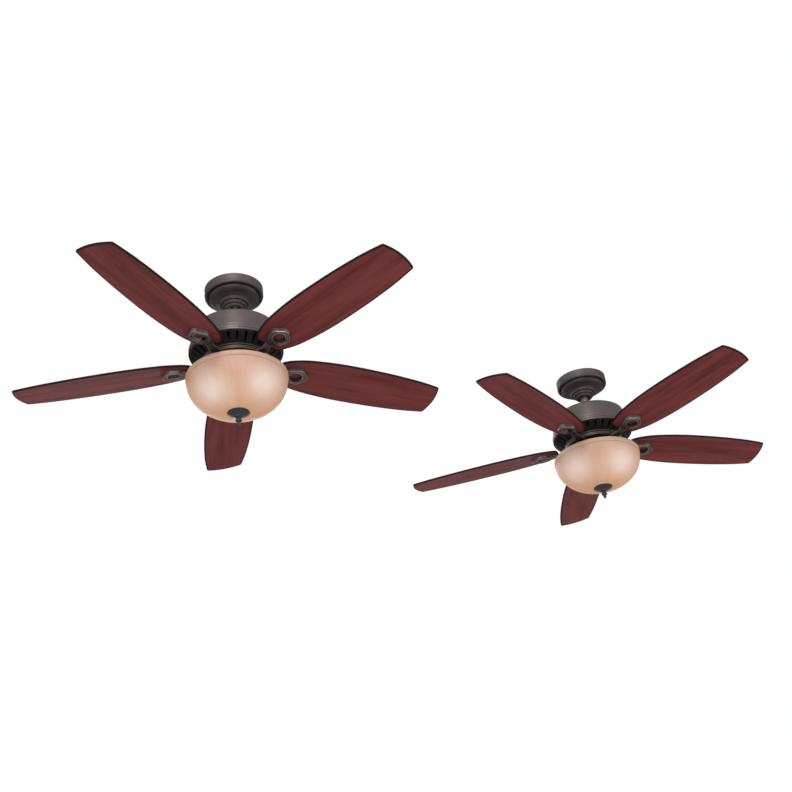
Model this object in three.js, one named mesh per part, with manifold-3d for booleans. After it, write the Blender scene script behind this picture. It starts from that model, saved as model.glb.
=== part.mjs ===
// A pair of five-blade ceiling fans with bowl lights, hung side by side from one ceiling.
// Millimetres, +Z up. The ceiling is the plane z = 0 and everything hangs below it.
// The origin lies on the ceiling, midway between the two fans, and +X runs from the left fan to the right one.
import * as THREE from "three";
import { mergeVertices } from "three/addons/utils/BufferGeometryUtils.js";
import Module from "manifold-3d";

const wasm = await Module();
wasm.setup();

// ---- Driving dimensions ------------------------------------------------------------------------

const sides = ["left", "right"];
const bladeReach = 660; // from a fan's axis to the tips of its blades
const circleGap = 40; // between the circles that the two fans' blades sweep
const restPhases = { left: -3.5, right: -15.5 }; // degrees, where each rotor happens to stand
const lampAzimuth = -37; // degrees, the line along which the two lamps of each light point

const seatGap = 0.3; // between two pieces that touch
const runningGap = 2.5; // between a turning piece and a fixed one beside it
const sheet = 2; // pressed steel
const roundSteps = 24; // facets round the canopy, rotor, bowl and pan
const ventSteps = 30; // facets round the two motor housings, one vent slot to a facet
const smallSteps = 14; // facets round rods, lamps and other small turned pieces

// Ceiling plate, swivel ball and canopy
const canopyRadius = 86;
const canopyBand = 28; // height of the upright band at the ceiling
const canopyGroove = 3; // depth of the groove under the band
const domeRadius = 74;
const domeRound = 10; // of the dome's edge, in plan
const domeBottom = 49; // where the dome ends and the rings begin
const canopyRings = [44, 36, 29]; // radii of the three stepped rings
const ringHeight = 8;
const canopyMouth = 22; // radius of the opening round the rod
const plateWidth = 44;
const plateThickness = 2.5;
const earDrop = 14;
const earWidth = 30;
const ballDepth = 36; // ball centre below the ceiling
const cradleTop = 44; // depth of the cradle's upper face
const cradleThickness = 5;
const cradleGap = 0.7; // the ball swings in its seat
const cradleWidth = 36;
const cradleWall = 8; // material outside the seat, in the line of the legs
const boltSpacing = 88.9; // outlet box screws
const boltHole = 5; // diameter

// Rod, shaft and motor
const rodRadius = 13.35;
const rodWall = 3;
const ballWall = 7.65; // of the swivel ball round the rod
const rodAboveBall = 9;
const pinRadius = 3;
const pinLength = 34;
const rodEnd = 126; // depth of the rod's lower end
const collarTop = 110;
const collarRadius = 21;
const flangeTop = 134.5;
const flangeRadius = 34;
const flangeThickness = 5;
const shaftRadius = 9;
const wireBore = 4.5;
const rotorTop = 175;
const rotorRadius = 92;
const rotorWall = 4;
const rotorDisc = 3; // its upper cover
const hubWeb = 5; // the hub between its boss and its rim
const hubTop = 260;
const hubRadius = 103;
const hubThickness = 12;
const statorPoles = 9;
const statorTop = 198;
const statorHeight = 32;
const statorGap = 2;
const statorHub = 30;
const poleNeck = 7; // half width
const poleShoe = 8; // radial thickness of a pole's outer end

// Housings
const domeFlat = 40; // radius of the flat that rests on the flange
const shoulderRadius = 122;
const shoulderRound = 8;
const shoulderDrop = 23.8; // of the shoulder below the housing's crown
const beadRadius = 137;
const ventHeight = 25; // of the vented wall
const beadHeight = 10; // of the upright band above the rim
const ventInset = 9; // of the vented wall's upper edge inside the bead
const domeCrown = 34; // width of the gentle slope inside the shoulder
const footClearance = 3; // between the vented housing and the turning hub
const ventWidth = 7;
const ventMargin = 5; // plain metal above and below the slots
const switchGap = 2.2; // under the blade irons
const switchRadius = 98;
const switchLip = 16; // from the housing's side in to the edge of its floor opening
const switchHeight = 16;
const panInset = 4; // of the pan's edge inside the bowl's rim
const panDrop = 10;
const panLip = 3;

// Blades
const bladeRoot = 127; // from the axis to the inner end of a blade
const bladeStations = [
  // share of the way from root to tip, half width
  [0, 28],
  [0.0115, 39],
  [0.063, 53],
  [0.168, 67],
  [0.369, 76.5],
  [0.627, 76],
  [0.847, 69],
  [1, 58],
];
const bladeTipBulge = 10;
const bladeTipSteps = 5;
const bladeSideSteps = 11;
const bladeThickness = 6;
const bladeCount = 5;
const bladeRise = 12.3; // of the blades' mid-plane above the irons' feet
const bladePitch = 11; // degrees

// Blade irons: a cast arm that ends in a loop with an oval eye
const ironFootRadius = 62;
const ironRiseStart = 124; // the arm rises to the blade between these radii
const ironRiseEnd = 150;
const ironArmWidth = 27;
const ironArmThickness = 6;
const ironArmLip = 1.8; // depth of the two grooves along the arm
const loopOutline = [
  // distance from the fan's axis, half width
  [230, 0],
  [223, 9],
  [204, 29],
  [192, 32],
  [166, 25],
  [150, 14],
];
const loopThickness = 10.6; // near its outer edge
const eyeCentre = 186;
const eyeRadial = 17.5;
const eyeTangential = 14;
const eyeThickness = 5;

// Light
const bowlRadius = 143;
const bowlHeight = 115.9;
const bowlBand = 14; // height of the upright rim
const bowlWall = 4;
const bowlSteps = 6;
const stemRadius = 4;
const clusterDrop = 5; // of the block that carries the two lamp holders, below the pan
const clusterWidth = 30;
const clusterDepth = 28;
const lampDrop = 30.9; // of the lamps' line below the bowl's rim
const holderRadius = 17;
const holderLength = 37;
const holderFloor = 9;
const bulbBase = 12.7;
const bulbRadius = 24;
const bulbLength = 88;
const bulbSteps = 5;
const capRadius = 32.5;
const capHeight = 12;
const knobBase = 13.5; // radius of the finial's flared foot
const knobNeck = 7;
const knobRadius = 9.8;
const finialReach = 42; // of the finial below the bowl
const threadLength = 10; // of the stem inside the finial

// Reversing switch, in the side of the switch housing
const sliderWidth = 8;
const sliderHeight = 4;
const sliderTravel = 2; // each way
const sliderProud = 2.5;
const sliderFlange = 3;

// ---- Materials ---------------------------------------------------------------------------------

function finish(name, color, metalness, roughness) {
  return new THREE.MeshStandardMaterial({ name, color, metalness, roughness });
}

const bronze = finish("bronze", 0x4a4140, 0.6, 0.45);
const darkIron = finish("dark_iron", 0x3a3534, 0.6, 0.5);
const steel = finish("steel", 0x8f8d8a, 0.8, 0.4);
const copper = finish("winding", 0x9a5a36, 0.6, 0.45);
const cherry = finish("cherry", 0x66302f, 0, 0.5);
const amberGlass = finish("amber_glass", 0xe6c8a8, 0, 0.3);
const opalGlass = finish("opal_glass", 0xf4efe4, 0, 0.35);
const holderPlastic = finish("holder_plastic", 0xe4e0d6, 0, 0.5);
const black = finish("black_plastic", 0x1c1b1b, 0, 0.5);

// ---- Solids ------------------------------------------------------------------------------------

function solid(geometry) {
  const bare = geometry.clone();
  bare.deleteAttribute("normal");
  bare.deleteAttribute("uv");
  const merged = mergeVertices(bare, 1e-4);
  const vertProperties = merged.attributes.position.array;
  const triVerts = [];
  const corners = merged.index.array;
  for (let i = 0; i < corners.length; i += 3) {
    const [a, b, c] = corners.slice(i, i + 3);
    if (a !== b && b !== c && c !== a) triVerts.push(a, b, c);
  }
  return new wasm.Manifold(
    new wasm.Mesh({ numProp: 3, vertProperties, triVerts: new Uint32Array(triVerts) })
  );
}

function geometryOf(body) {
  const mesh = body.getMesh();
  const geometry = new THREE.BufferGeometry();
  geometry.setAttribute("position", new THREE.BufferAttribute(mesh.vertProperties, 3));
  geometry.setIndex(new THREE.BufferAttribute(mesh.triVerts, 1));
  geometry.computeVertexNormals();
  return geometry;
}

// A turned solid. The profile is a loop of [radius, depth below the ceiling], walked in either direction.
function turned(profile, steps = roundSteps) {
  const area = profile.reduce((sum, [r, d], i) => {
    const [nextR, nextD] = profile[(i + 1) % profile.length];
    return sum + r * nextD - nextR * d;
  }, 0);
  const loop = [...profile, profile[0]].map(([r, d]) => new THREE.Vector2(r, -d));
  if (area > 0) loop.reverse();
  return solid(new THREE.LatheGeometry(loop, steps).rotateX(Math.PI / 2));
}

// A box between two corners.
function block([x0, y0, z0], [x1, y1, z1]) {
  const box = new THREE.BoxGeometry(x1 - x0, y1 - y0, z1 - z0);
  return solid(box.translate((x0 + x1) / 2, (y0 + y1) / 2, (z0 + z1) / 2));
}

// A round bar along X, Y or Z.
function bar(radius, length, along, steps = smallSteps) {
  const cylinder = new THREE.CylinderGeometry(radius, radius, length, steps);
  if (along === "x") cylinder.rotateZ(Math.PI / 2);
  if (along === "z") cylinder.rotateX(Math.PI / 2);
  return cylinder;
}

// A flat outline given a thickness, from z = 0 up.
function slab(shape, thickness, curveSteps = 12) {
  const options = { depth: thickness, bevelEnabled: false, curveSegments: curveSteps };
  return new THREE.ExtrudeGeometry(shape, options);
}

// A skin through sections of equal point counts: closed on itself as a ring, or capped at both ends.
function skin(sections, ring) {
  const count = sections[0].length;
  const positions = sections.flat().flatMap((p) => [p.x, p.y, p.z]);
  const index = [];
  const last = ring ? sections.length : sections.length - 1;
  for (let s = 0; s < last; s++) {
    const here = s * count;
    const next = ((s + 1) % sections.length) * count;
    for (let i = 0; i < count; i++) {
      const j = (i + 1) % count;
      index.push(here + i, here + j, next + j);
      index.push(here + i, next + j, next + i);
    }
  }
  if (!ring) {
    const outline = sections[0].map((p) => new THREE.Vector2(p.y, p.z));
    const end = (sections.length - 1) * count;
    for (const [a, b, c] of THREE.ShapeUtils.triangulateShape(outline, [])) {
      index.push(a, c, b);
      index.push(end + a, end + b, end + c);
    }
  }
  const geometry = new THREE.BufferGeometry();
  geometry.setAttribute("position", new THREE.Float32BufferAttribute(positions, 3));
  geometry.setIndex(index);
  return geometry;
}

const radians = THREE.MathUtils.degToRad;

// ---- Ceiling plate, ball and canopy ------------------------------------------------------------

function hangerBracket() {
  const reach = canopyRadius - sheet - seatGap;
  const legInside = seatRadiusAt(cradleTop) + cradleWall - sheet;
  const legOutside = legInside + plateThickness;
  const disc = solid(bar(reach, earDrop, "z", roundSteps)).translate([0, 0, -earDrop / 2]);
  const plate = block([-reach, -plateWidth / 2, -plateThickness], [reach, plateWidth / 2, 0]);
  const inner = solid(bar(reach - plateThickness, earDrop, "z", roundSteps));
  const hollow = inner.translate([0, 0, -earDrop / 2 - plateThickness]);
  const ears = block([-reach, -earWidth / 2, -earDrop], [reach, earWidth / 2, 0]);
  const top = plate.add(ears.subtract(hollow)).intersect(disc);
  const cradleBottom = cradleTop + cradleThickness;
  const half = cradleWidth / 2;
  const leg = block([legInside, -half, -cradleBottom], [legOutside, half, -plateThickness / 2]);
  const otherLeg = block([-legOutside, -half, -cradleBottom], [-legInside, half, -plateThickness / 2]);
  const cradle = block([-legOutside, -half, -cradleBottom], [legOutside, half, -cradleTop]);
  const seat = turned(
    [
      [0, cradleTop - cradleThickness],
      [seatRadiusAt(cradleTop - cradleThickness), cradleTop - cradleThickness],
      [seatRadiusAt(cradleTop), cradleTop],
      [seatRadiusAt(cradleBottom), cradleBottom],
      [seatRadiusAt(cradleBottom), cradleBottom + cradleThickness],
      [0, cradleBottom + cradleThickness],
    ],
    2 * smallSteps
  );
  let bracket = top.add(leg).add(otherLeg).add(cradle).subtract(seat);
  for (const x of [-boltSpacing / 2, boltSpacing / 2]) {
    const hole = bar(boltHole / 2, 4 * plateThickness, "z", smallSteps / 2);
    bracket = bracket.subtract(solid(hole.translate(x, 0, 0)));
  }
  return geometryOf(bracket);
}

function ballRadius() {
  return rodRadius + ballWall;
}

function seatRadiusAt(depth) {
  return Math.sqrt(ballRadius() ** 2 - (depth - ballDepth) ** 2) + cradleGap;
}

function hangerBall() {
  const bore = rodRadius + seatGap;
  const flat = Math.sqrt(ballRadius() ** 2 - (bore + 1.5) ** 2); // half height of the cut-off ball
  const latitude = Math.asin(flat / ballRadius());
  const steps = 5;
  const profile = [
    [bore, ballDepth + flat],
    [bore, ballDepth - flat],
  ];
  for (let i = 0; i <= steps; i++) {
    const angle = latitude * (1 - (2 * i) / steps);
    profile.push([ballRadius() * Math.cos(angle), ballDepth - ballRadius() * Math.sin(angle)]);
  }
  return geometryOf(turned(profile, smallSteps));
}

function pinDepth() {
  const bore = rodRadius + seatGap;
  return ballDepth - Math.sqrt(ballRadius() ** 2 - (bore + 1.5) ** 2) - seatGap - pinRadius;
}

// The rod, with the pin that crosses it and rests on the ball.
function downrod() {
  const top = pinDepth() - rodAboveBall + pinRadius;
  const tube = turned(
    [
      [rodRadius, top],
      [rodRadius, rodEnd],
      [rodRadius - rodWall, rodEnd],
      [rodRadius - rodWall, top],
    ],
    smallSteps
  );
  const pin = solid(bar(pinRadius, pinLength, "x", 8)).translate([0, 0, -pinDepth()]);
  return geometryOf(tube.add(pin));
}

function canopy() {
  const outside = [
    [canopyRadius, 0],
    [canopyRadius, canopyBand],
    [domeRadius, canopyBand + canopyGroove],
    [domeRadius - domeRound, canopyBand + canopyGroove + domeRound - 1],
    [canopyRings[0] + 6, domeBottom - 2],
  ];
  canopyRings.forEach((radius, i) => {
    outside.push([radius, domeBottom + i * ringHeight]);
    outside.push([radius - 1, domeBottom + (i + 1) * ringHeight]);
  });
  const bottom = domeBottom + canopyRings.length * ringHeight;
  outside.push([canopyMouth, bottom + 1]);
  const inside = [
    [canopyMouth, bottom - sheet],
    [canopyRings[0] - sheet, domeBottom - sheet / 2],
    [domeRadius - 2 * sheet - 6, canopyBand + canopyGroove + 3],
    [canopyRadius - sheet, canopyBand - sheet],
    [canopyRadius - sheet, 0],
  ];
  return geometryOf(turned([...outside, ...inside]));
}

// ---- Motor -------------------------------------------------------------------------------------

function motorShaft() {
  const socket = rodRadius + seatGap;
  const socketFloor = rodEnd + seatGap;
  const end = switchTop() + sheet + 6;
  return geometryOf(
    turned(
      [
        [collarRadius, collarTop],
        [collarRadius, flangeTop],
        [flangeRadius, flangeTop],
        [flangeRadius, flangeTop + flangeThickness],
        [shaftRadius + 5, flangeTop + flangeThickness],
        [shaftRadius, flangeTop + 3 * flangeThickness],
        [shaftRadius, end],
        [wireBore, end],
        [wireBore, socketFloor],
        [socket, socketFloor],
        [socket, collarTop],
      ],
      smallSteps
    )
  );
}

function statorOutline() {
  const outer = rotorRadius - rotorWall - statorGap;
  const shape = new THREE.Shape();
  const step = (2 * Math.PI) / statorPoles;
  const rootHalf = Math.asin(poleNeck / statorHub);
  const neckHalf = Math.asin(poleNeck / (outer - poleShoe));
  const shoeHalf = step * 0.42;
  for (let i = 0; i < statorPoles; i++) {
    const corners = [
      [statorHub, -rootHalf],
      [outer - poleShoe, -neckHalf],
      [outer, -shoeHalf],
      [outer, 0],
      [outer, shoeHalf],
      [outer - poleShoe, neckHalf],
      [statorHub, rootHalf],
    ];
    for (const [radius, angle] of corners) {
      const x = radius * Math.cos(i * step + angle);
      const y = radius * Math.sin(i * step + angle);
      if (shape.curves.length === 0 && shape.currentPoint.length() === 0) shape.moveTo(x, y);
      else shape.lineTo(x, y);
    }
  }
  shape.closePath();
  return shape;
}

function stator() {
  const poles = solid(slab(statorOutline(), statorHeight));
  const bore = solid(bar(shaftRadius + seatGap, 3 * statorHeight, "z"));
  return geometryOf(poles.subtract(bore).translate([0, 0, -statorTop - statorHeight]));
}

// The outer rotor: a drum round the stator whose floor is the hub that carries the blade irons.
function motorRotor() {
  const bore = shaftRadius + 2 * seatGap;
  const boss = bore + rotorWall;
  const inner = rotorRadius - rotorWall;
  const hubBottom = hubTop + hubThickness;
  return geometryOf(
    turned([
      [bore, rotorTop],
      [rotorRadius, rotorTop],
      [rotorRadius, hubTop],
      [hubRadius, hubTop],
      [hubRadius, hubBottom],
      [bore, hubBottom],
      [bore, hubTop],
      [boss, hubTop],
      [boss, hubBottom - hubWeb],
      [inner, hubBottom - hubWeb],
      [inner, rotorTop + rotorDisc],
      [bore, rotorTop + rotorDisc],
    ])
  );
}

// ---- Housings ----------------------------------------------------------------------------------

function rimDepth() {
  return ventFootDepth() - ventHeight;
}

function beadTop() {
  return rimDepth() - beadHeight;
}

function upperHousing() {
  const top = flangeTop - seatGap - sheet;
  const neck = collarRadius + seatGap;
  const innerBead = beadRadius - sheet + 1;
  const shoulderDepth = top + shoulderDrop;
  return geometryOf(
    turned([
      [neck, top],
      [domeFlat, top],
      [shoulderRadius - domeCrown, top + 7],
      [shoulderRadius - shoulderRound, shoulderDepth - shoulderRound + 2],
      [shoulderRadius, shoulderDepth],
      [beadRadius - 2, beadTop() - 5],
      [beadRadius, beadTop()],
      [beadRadius, rimDepth()],
      [innerBead - 1, rimDepth()],
      [innerBead - 1, beadTop()],
      [shoulderRadius - sheet, shoulderDepth + sheet],
      [shoulderRadius - shoulderRound - sheet, shoulderDepth - shoulderRound + 2 + sheet],
      [domeFlat, top + sheet],
      [neck, top + sheet],
    ], ventSteps)
  );
}

function lowerHousing() {
  const outer = beadRadius - sheet - seatGap;
  const ventTop = beadRadius - ventInset;
  const footInner = rotorRadius + runningGap;
  const ventFoot = footInner + 2 * sheet;
  const body = turned([
    [outer, beadTop() + sheet],
    [outer, rimDepth()],
    [ventTop, rimDepth() + 1],
    [ventFoot, ventFootDepth()],
    [footInner, ventFootDepth() + sheet],
    [footInner, ventFootDepth()],
    [ventTop - sheet, rimDepth() - sheet],
    [outer - sheet, rimDepth() - sheet],
    [outer - sheet, beadTop() + sheet],
  ], ventSteps);
  const slope = Math.atan2(ventFootDepth() - rimDepth(), ventTop - ventFoot);
  const slopeLength = Math.hypot(ventFootDepth() - rimDepth(), ventTop - ventFoot);
  const middle = [(ventTop + ventFoot) / 2, (rimDepth() + ventFootDepth()) / 2];
  let vented = body;
  for (let i = 0; i < ventSteps; i++) {
    const slot = new THREE.BoxGeometry(slopeLength - 2 * ventMargin, ventWidth, 8 * sheet);
    slot.rotateY(-slope);
    slot.translate(middle[0], 0, -middle[1]);
    slot.rotateZ(((i + 0.5) * 2 * Math.PI) / ventSteps);
    vented = vented.subtract(solid(slot));
  }
  return geometryOf(vented);
}

function ventFootDepth() {
  return hubTop - footClearance - sheet;
}

function ironTop() {
  return hubTop + hubThickness + seatGap;
}

function ironBottom() {
  return ironTop() + ironArmThickness;
}

// Depth of the mid-plane of the blades.
function bladeDepth() {
  return ironTop() - bladeRise;
}

function switchTop() {
  return ironBottom() + switchGap;
}

function switchBottom() {
  return switchTop() + switchHeight + sheet;
}

function switchHousing() {
  const top = switchTop();
  const bottom = switchBottom();
  const bore = shaftRadius + seatGap;
  const shell = turned([
    [bore, top],
    [switchRadius - 4, top],
    [switchRadius, top + 3],
    [switchRadius, bottom - sheet],
    [switchRadius - 6, bottom],
    [switchRadius - switchLip, bottom],
    [switchRadius - switchLip, bottom - sheet],
    [switchRadius - sheet, bottom - 2 * sheet],
    [switchRadius - sheet, top + 3],
    [switchRadius - 4 - sheet / 2, top + sheet],
    [bore, top + sheet],
  ]);
  const halfWidth = sliderWidth / 2 + seatGap;
  const halfHeight = sliderHeight / 2 + sliderTravel + seatGap;
  const slot = block(
    [-halfWidth, switchRadius - 4 * sheet, -sliderDepth() - halfHeight],
    [halfWidth, switchRadius + sheet, -sliderDepth() + halfHeight]
  );
  return geometryOf(shell.subtract(slot));
}

function sliderDepth() {
  return (switchTop() + 3 + switchBottom() - sheet) / 2;
}

// The thumb piece of the reversing switch, with the flange behind the wall that keeps it in.
function reverseSlider() {
  const wallInside = (switchRadius - sheet) * Math.cos(Math.PI / roundSteps);
  const wallOutside = switchRadius;
  const thumb = block(
    [-sliderWidth / 2, wallInside - 2 * sliderFlange, -sliderDepth() - sliderHeight / 2],
    [sliderWidth / 2, wallOutside + sliderProud, -sliderDepth() + sliderHeight / 2]
  );
  const flange = block(
    [-sliderWidth, wallInside - seatGap - sliderFlange, -sliderDepth() - sliderHeight / 2],
    [sliderWidth, wallInside - seatGap - 0.5, -sliderDepth() + sliderHeight / 2]
  );
  return geometryOf(thumb.add(flange));
}

// ---- Blades and irons --------------------------------------------------------------------------

function bladeOutline() {
  const tipRadius = bladeReach - bladeTipBulge;
  const edge = new THREE.SplineCurve(
    bladeStations.map(([share, w]) => new THREE.Vector2(bladeRoot + share * (tipRadius - bladeRoot), w))
  );
  const side = edge.getPoints(bladeSideSteps);
  const tipHalf = bladeStations.at(-1)[1];
  const tip = [];
  for (let i = 0; i <= bladeTipSteps; i++) {
    const across = 1 - (2 * i) / bladeTipSteps;
    const y = across * (tipHalf - 5);
    tip.push(new THREE.Vector2(tipRadius + 3 + (bladeTipBulge - 3) * (1 - across ** 2), y));
  }
  const otherSide = side.map((p) => new THREE.Vector2(p.x, -p.y)).reverse();
  return new THREE.Shape([...side, ...tip, ...otherSide]);
}

// Lies along +X, tipped about its own length so that the edge on the +Y side hangs lower.
function blade() {
  const board = slab(bladeOutline(), bladeThickness);
  board.translate(0, 0, -bladeThickness / 2);
  board.rotateX(-radians(bladePitch));
  board.translate(0, 0, -bladeDepth());
  return geometryOf(solid(board));
}

// The point where the eye's edge lies in the direction of a point further out.
function eyeEdge([x, y]) {
  const angle = Math.atan2(y, x - eyeCentre);
  const reach = 1 / Math.hypot(Math.cos(angle) / eyeRadial, Math.sin(angle) / eyeTangential);
  return [eyeCentre + reach * Math.cos(angle), reach * Math.sin(angle)];
}

// The iron's loop, in the frame of a level blade whose mid-plane is z = 0.
function ironLoop() {
  const top = -bladeThickness / 2 - seatGap;
  const otherHalf = loopOutline.slice(1).map(([x, y]) => [x, -y]);
  const outline = [...loopOutline, ...otherHalf.reverse()];
  const sections = outline.map((outer) => {
    const inner = eyeEdge(outer);
    const between = (share, z) =>
      new THREE.Vector3(
        outer[0] + (inner[0] - outer[0]) * share,
        outer[1] + (inner[1] - outer[1]) * share,
        z
      );
    return [
      between(0, top),
      between(0, top - loopThickness * 0.75),
      between(0.12, top - loopThickness),
      between(1, top - eyeThickness),
      between(1, top),
    ];
  });
  return skin(sections, true);
}

// One cross-section of the iron's arm: flat on top, two grooves below.
function armSection(x, top, tilt) {
  const half = ironArmWidth / 2;
  const bottom = -ironArmThickness;
  const outline = [
    [half, 0],
    [-half, 0],
    [-half, bottom],
    [-half * 0.4, bottom],
    [-half * 0.2, bottom + ironArmLip],
    [half * 0.2, bottom + ironArmLip],
    [half * 0.4, bottom],
    [half, bottom],
  ];
  return outline.map(([y, z]) => {
    const angle = -radians(tilt);
    const turnedY = y * Math.cos(angle) - z * Math.sin(angle);
    const turnedZ = y * Math.sin(angle) + z * Math.cos(angle);
    return new THREE.Vector3(x, turnedY, turnedZ - top);
  });
}

function bladeIron() {
  const footTop = ironTop();
  const bladeUnderside = bladeDepth() + bladeThickness / 2 + seatGap;
  const arm = skin(
    [
      armSection(ironFootRadius, footTop, 0),
      armSection(ironRiseStart, footTop, 0),
      armSection(ironRiseEnd, bladeUnderside + 0.5, bladePitch),
      armSection(eyeCentre - eyeRadial - 1, bladeUnderside + 0.5, bladePitch),
    ],
    false
  );
  const loop = ironLoop();
  loop.rotateX(-radians(bladePitch));
  loop.translate(0, 0, -bladeDepth());
  return geometryOf(solid(arm).add(solid(loop)));
}

// ---- Light -------------------------------------------------------------------------------------

function panRadius() {
  return bowlRadius - panInset;
}

function panTop() {
  return switchBottom() + seatGap;
}

function fitterPan() {
  const top = panTop();
  const edge = top + panDrop;
  const bore = stemRadius + seatGap;
  return geometryOf(
    turned([
      [bore, top],
      [switchRadius - 4, top],
      [panRadius(), edge - panLip],
      [panRadius(), edge],
      [panRadius() - sheet, edge],
      [panRadius() - sheet, edge - panLip + sheet],
      [switchRadius - 4 - sheet / 2, top + sheet],
      [bore, top + sheet],
    ])
  );
}

function bowlTop() {
  return panTop() + panDrop + seatGap;
}

function bowlBottom() {
  return bowlTop() + bowlHeight;
}

function lampDepth() {
  return bowlTop() + lampDrop;
}

// Radius and depth of the bowl's outside, from the foot of its upright rim (0) to the bottom (1).
function bowlPoint(share, inset) {
  const angle = (share * Math.PI) / 2;
  const rimFoot = bowlTop() + bowlBand;
  const radius = (bowlRadius - 2 - inset) * Math.cos(angle);
  const depth = rimFoot + (bowlBottom() - rimFoot - inset) * Math.sin(angle) ** 0.97;
  return [radius, depth];
}

function stemHole() {
  return stemRadius + 4 * seatGap;
}

function glassBowl() {
  const top = bowlTop();
  const outside = [
    [bowlRadius, top],
    [bowlRadius, top + bowlBand / 2],
  ];
  const inside = [];
  for (let i = 0; i < bowlSteps; i++) {
    outside.push(bowlPoint(i / bowlSteps, 0));
    inside.push(bowlPoint(i / bowlSteps, bowlWall));
  }
  outside.push([stemHole(), bowlBottom()]);
  inside.push([stemHole(), bowlBottom() - bowlWall]);
  inside.reverse();
  return geometryOf(turned([...outside, ...inside, [bowlRadius - bowlWall, top]]));
}

// The block under the pan that carries both lamp holders, and the threaded stem through the bowl.
function centreStem() {
  const half = clusterWidth / 2;
  const start = panTop() + sheet + seatGap;
  const clusterTop = start + clusterDrop;
  const cluster = block(
    [-half, -clusterDepth / 2, -lampDepth() - holderRadius],
    [half, clusterDepth / 2, -clusterTop]
  );
  const neck = bar(stemRadius + 4, clusterDrop + 1, "z");
  const collar = solid(neck.translate(0, 0, -start - (clusterDrop + 1) / 2));
  const stemEnd = knobTop() + threadLength;
  const stem = bar(stemRadius, stemEnd - lampDepth(), "z");
  const rod = solid(stem.translate(0, 0, -(stemEnd + lampDepth()) / 2));
  return geometryOf(cluster.add(collar).add(rod));
}

// Lamp pieces are turned about the lamp's own line, then laid along +X at the lamp's depth.
function laid(profile) {
  const body = turned(profile, smallSteps - 2);
  return geometryOf(body.rotate([0, 90, 0]).translate([0, 0, -lampDepth()]));
}

function lampHolder() {
  const start = clusterWidth / 2 + seatGap;
  const bore = bulbBase + seatGap;
  return laid([
    [0, -start],
    [holderRadius, -start],
    [holderRadius, -start - holderLength],
    [bore, -start - holderLength],
    [bore, -start - holderFloor],
    [0, -start - holderFloor],
  ]);
}

function bulb() {
  const start = clusterWidth / 2 + seatGap + holderFloor + seatGap;
  const neck = start + holderLength - holderFloor + 4;
  const end = start + bulbLength;
  const centre = end - bulbRadius;
  const profile = [
    [0, -start],
    [bulbBase, -start],
    [bulbBase, -neck],
  ];
  for (let i = 0; i <= bulbSteps; i++) {
    const angle = (0.75 * Math.PI * i) / bulbSteps;
    const lift = 0.75 * Math.PI - angle;
    profile.push([bulbRadius * Math.sin(lift), -(centre + bulbRadius * Math.cos(lift))]);
  }
  return laid(profile);
}

function capTop() {
  return bowlBottom() + seatGap;
}

function knobTop() {
  return capTop() + capHeight + seatGap;
}

// The dished plate under the bowl, stepped in to the finial.
function finialCap() {
  const top = capTop();
  const bottom = top + capHeight;
  return geometryOf(
    turned(
      [
        [stemHole(), top],
        [capRadius * 0.6, top],
        [capRadius - 1, top - 1],
        [capRadius, top + 1],
        [capRadius * 0.86, top + 5],
        [capRadius * 0.45, bottom],
        [stemHole(), bottom],
      ],
      roundSteps
    )
  );
}

function finialNut() {
  const top = knobTop();
  const tip = bowlBottom() + finialReach;
  const length = tip - top;
  const bore = stemRadius + 2 * seatGap;
  const floor = top + threadLength + seatGap;
  return geometryOf(
    turned(
      [
        [bore, top],
        [knobBase, top],
        [knobBase, top + length * 0.09],
        [knobNeck, top + length * 0.25],
        [knobRadius, top + length * 0.45],
        [knobRadius * 0.85, top + length * 0.66],
        [knobRadius * 0.36, top + length * 0.9],
        [0, tip],
        [0, floor],
        [bore, floor],
      ],
      smallSteps
    )
  );
}

// ---- Assembly ----------------------------------------------------------------------------------

const shapes = {
  hanger_bracket: [hangerBracket(), steel],
  canopy: [canopy(), bronze],
  hanger_ball: [hangerBall(), black],
  downrod: [downrod(), bronze],
  motor_shaft: [motorShaft(), steel],
  stator: [stator(), copper],
  upper_housing: [upperHousing(), bronze],
  lower_housing: [lowerHousing(), bronze],
  switch_housing: [switchHousing(), bronze],
  reverse_slider: [reverseSlider(), black],
  fitter_pan: [fitterPan(), darkIron],
  centre_stem: [centreStem(), steel],
  glass_bowl: [glassBowl(), amberGlass],
  finial_cap: [finialCap(), darkIron],
  finial_nut: [finialNut(), darkIron],
};
const rotorShape = motorRotor();
const bladeShape = blade();
const ironShape = bladeIron();
const holderShape = lampHolder();
const bulbShape = bulb();

function named(name, geometry, material) {
  const mesh = new THREE.Mesh(geometry, material);
  mesh.name = name;
  return mesh;
}

function rotorGroup(side) {
  const rotor = new THREE.Group();
  rotor.rotation.z = radians(restPhases[side]);
  rotor.add(named(`${side}_motor_rotor`, rotorShape, bronze));
  for (let i = 1; i <= bladeCount; i++) {
    const arm = new THREE.Group();
    arm.rotation.z = ((i - 1) * 2 * Math.PI) / bladeCount;
    arm.add(named(`${side}_blade_${i}`, bladeShape, cherry));
    arm.add(named(`${side}_blade_iron_${i}`, ironShape, darkIron));
    rotor.add(arm);
  }
  return rotor;
}

function lampGroup(side) {
  const lamps = new THREE.Group();
  lamps.rotation.z = radians(lampAzimuth);
  const [stemShape, stemMaterial] = shapes.centre_stem;
  lamps.add(named(`${side}_centre_stem`, stemShape, stemMaterial));
  for (const i of [1, 2]) {
    const lamp = new THREE.Group();
    lamp.rotation.z = (i - 1) * Math.PI;
    lamp.add(named(`${side}_lamp_holder_${i}`, holderShape, holderPlastic));
    lamp.add(named(`${side}_bulb_${i}`, bulbShape, opalGlass));
    lamps.add(lamp);
  }
  return lamps;
}

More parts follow.
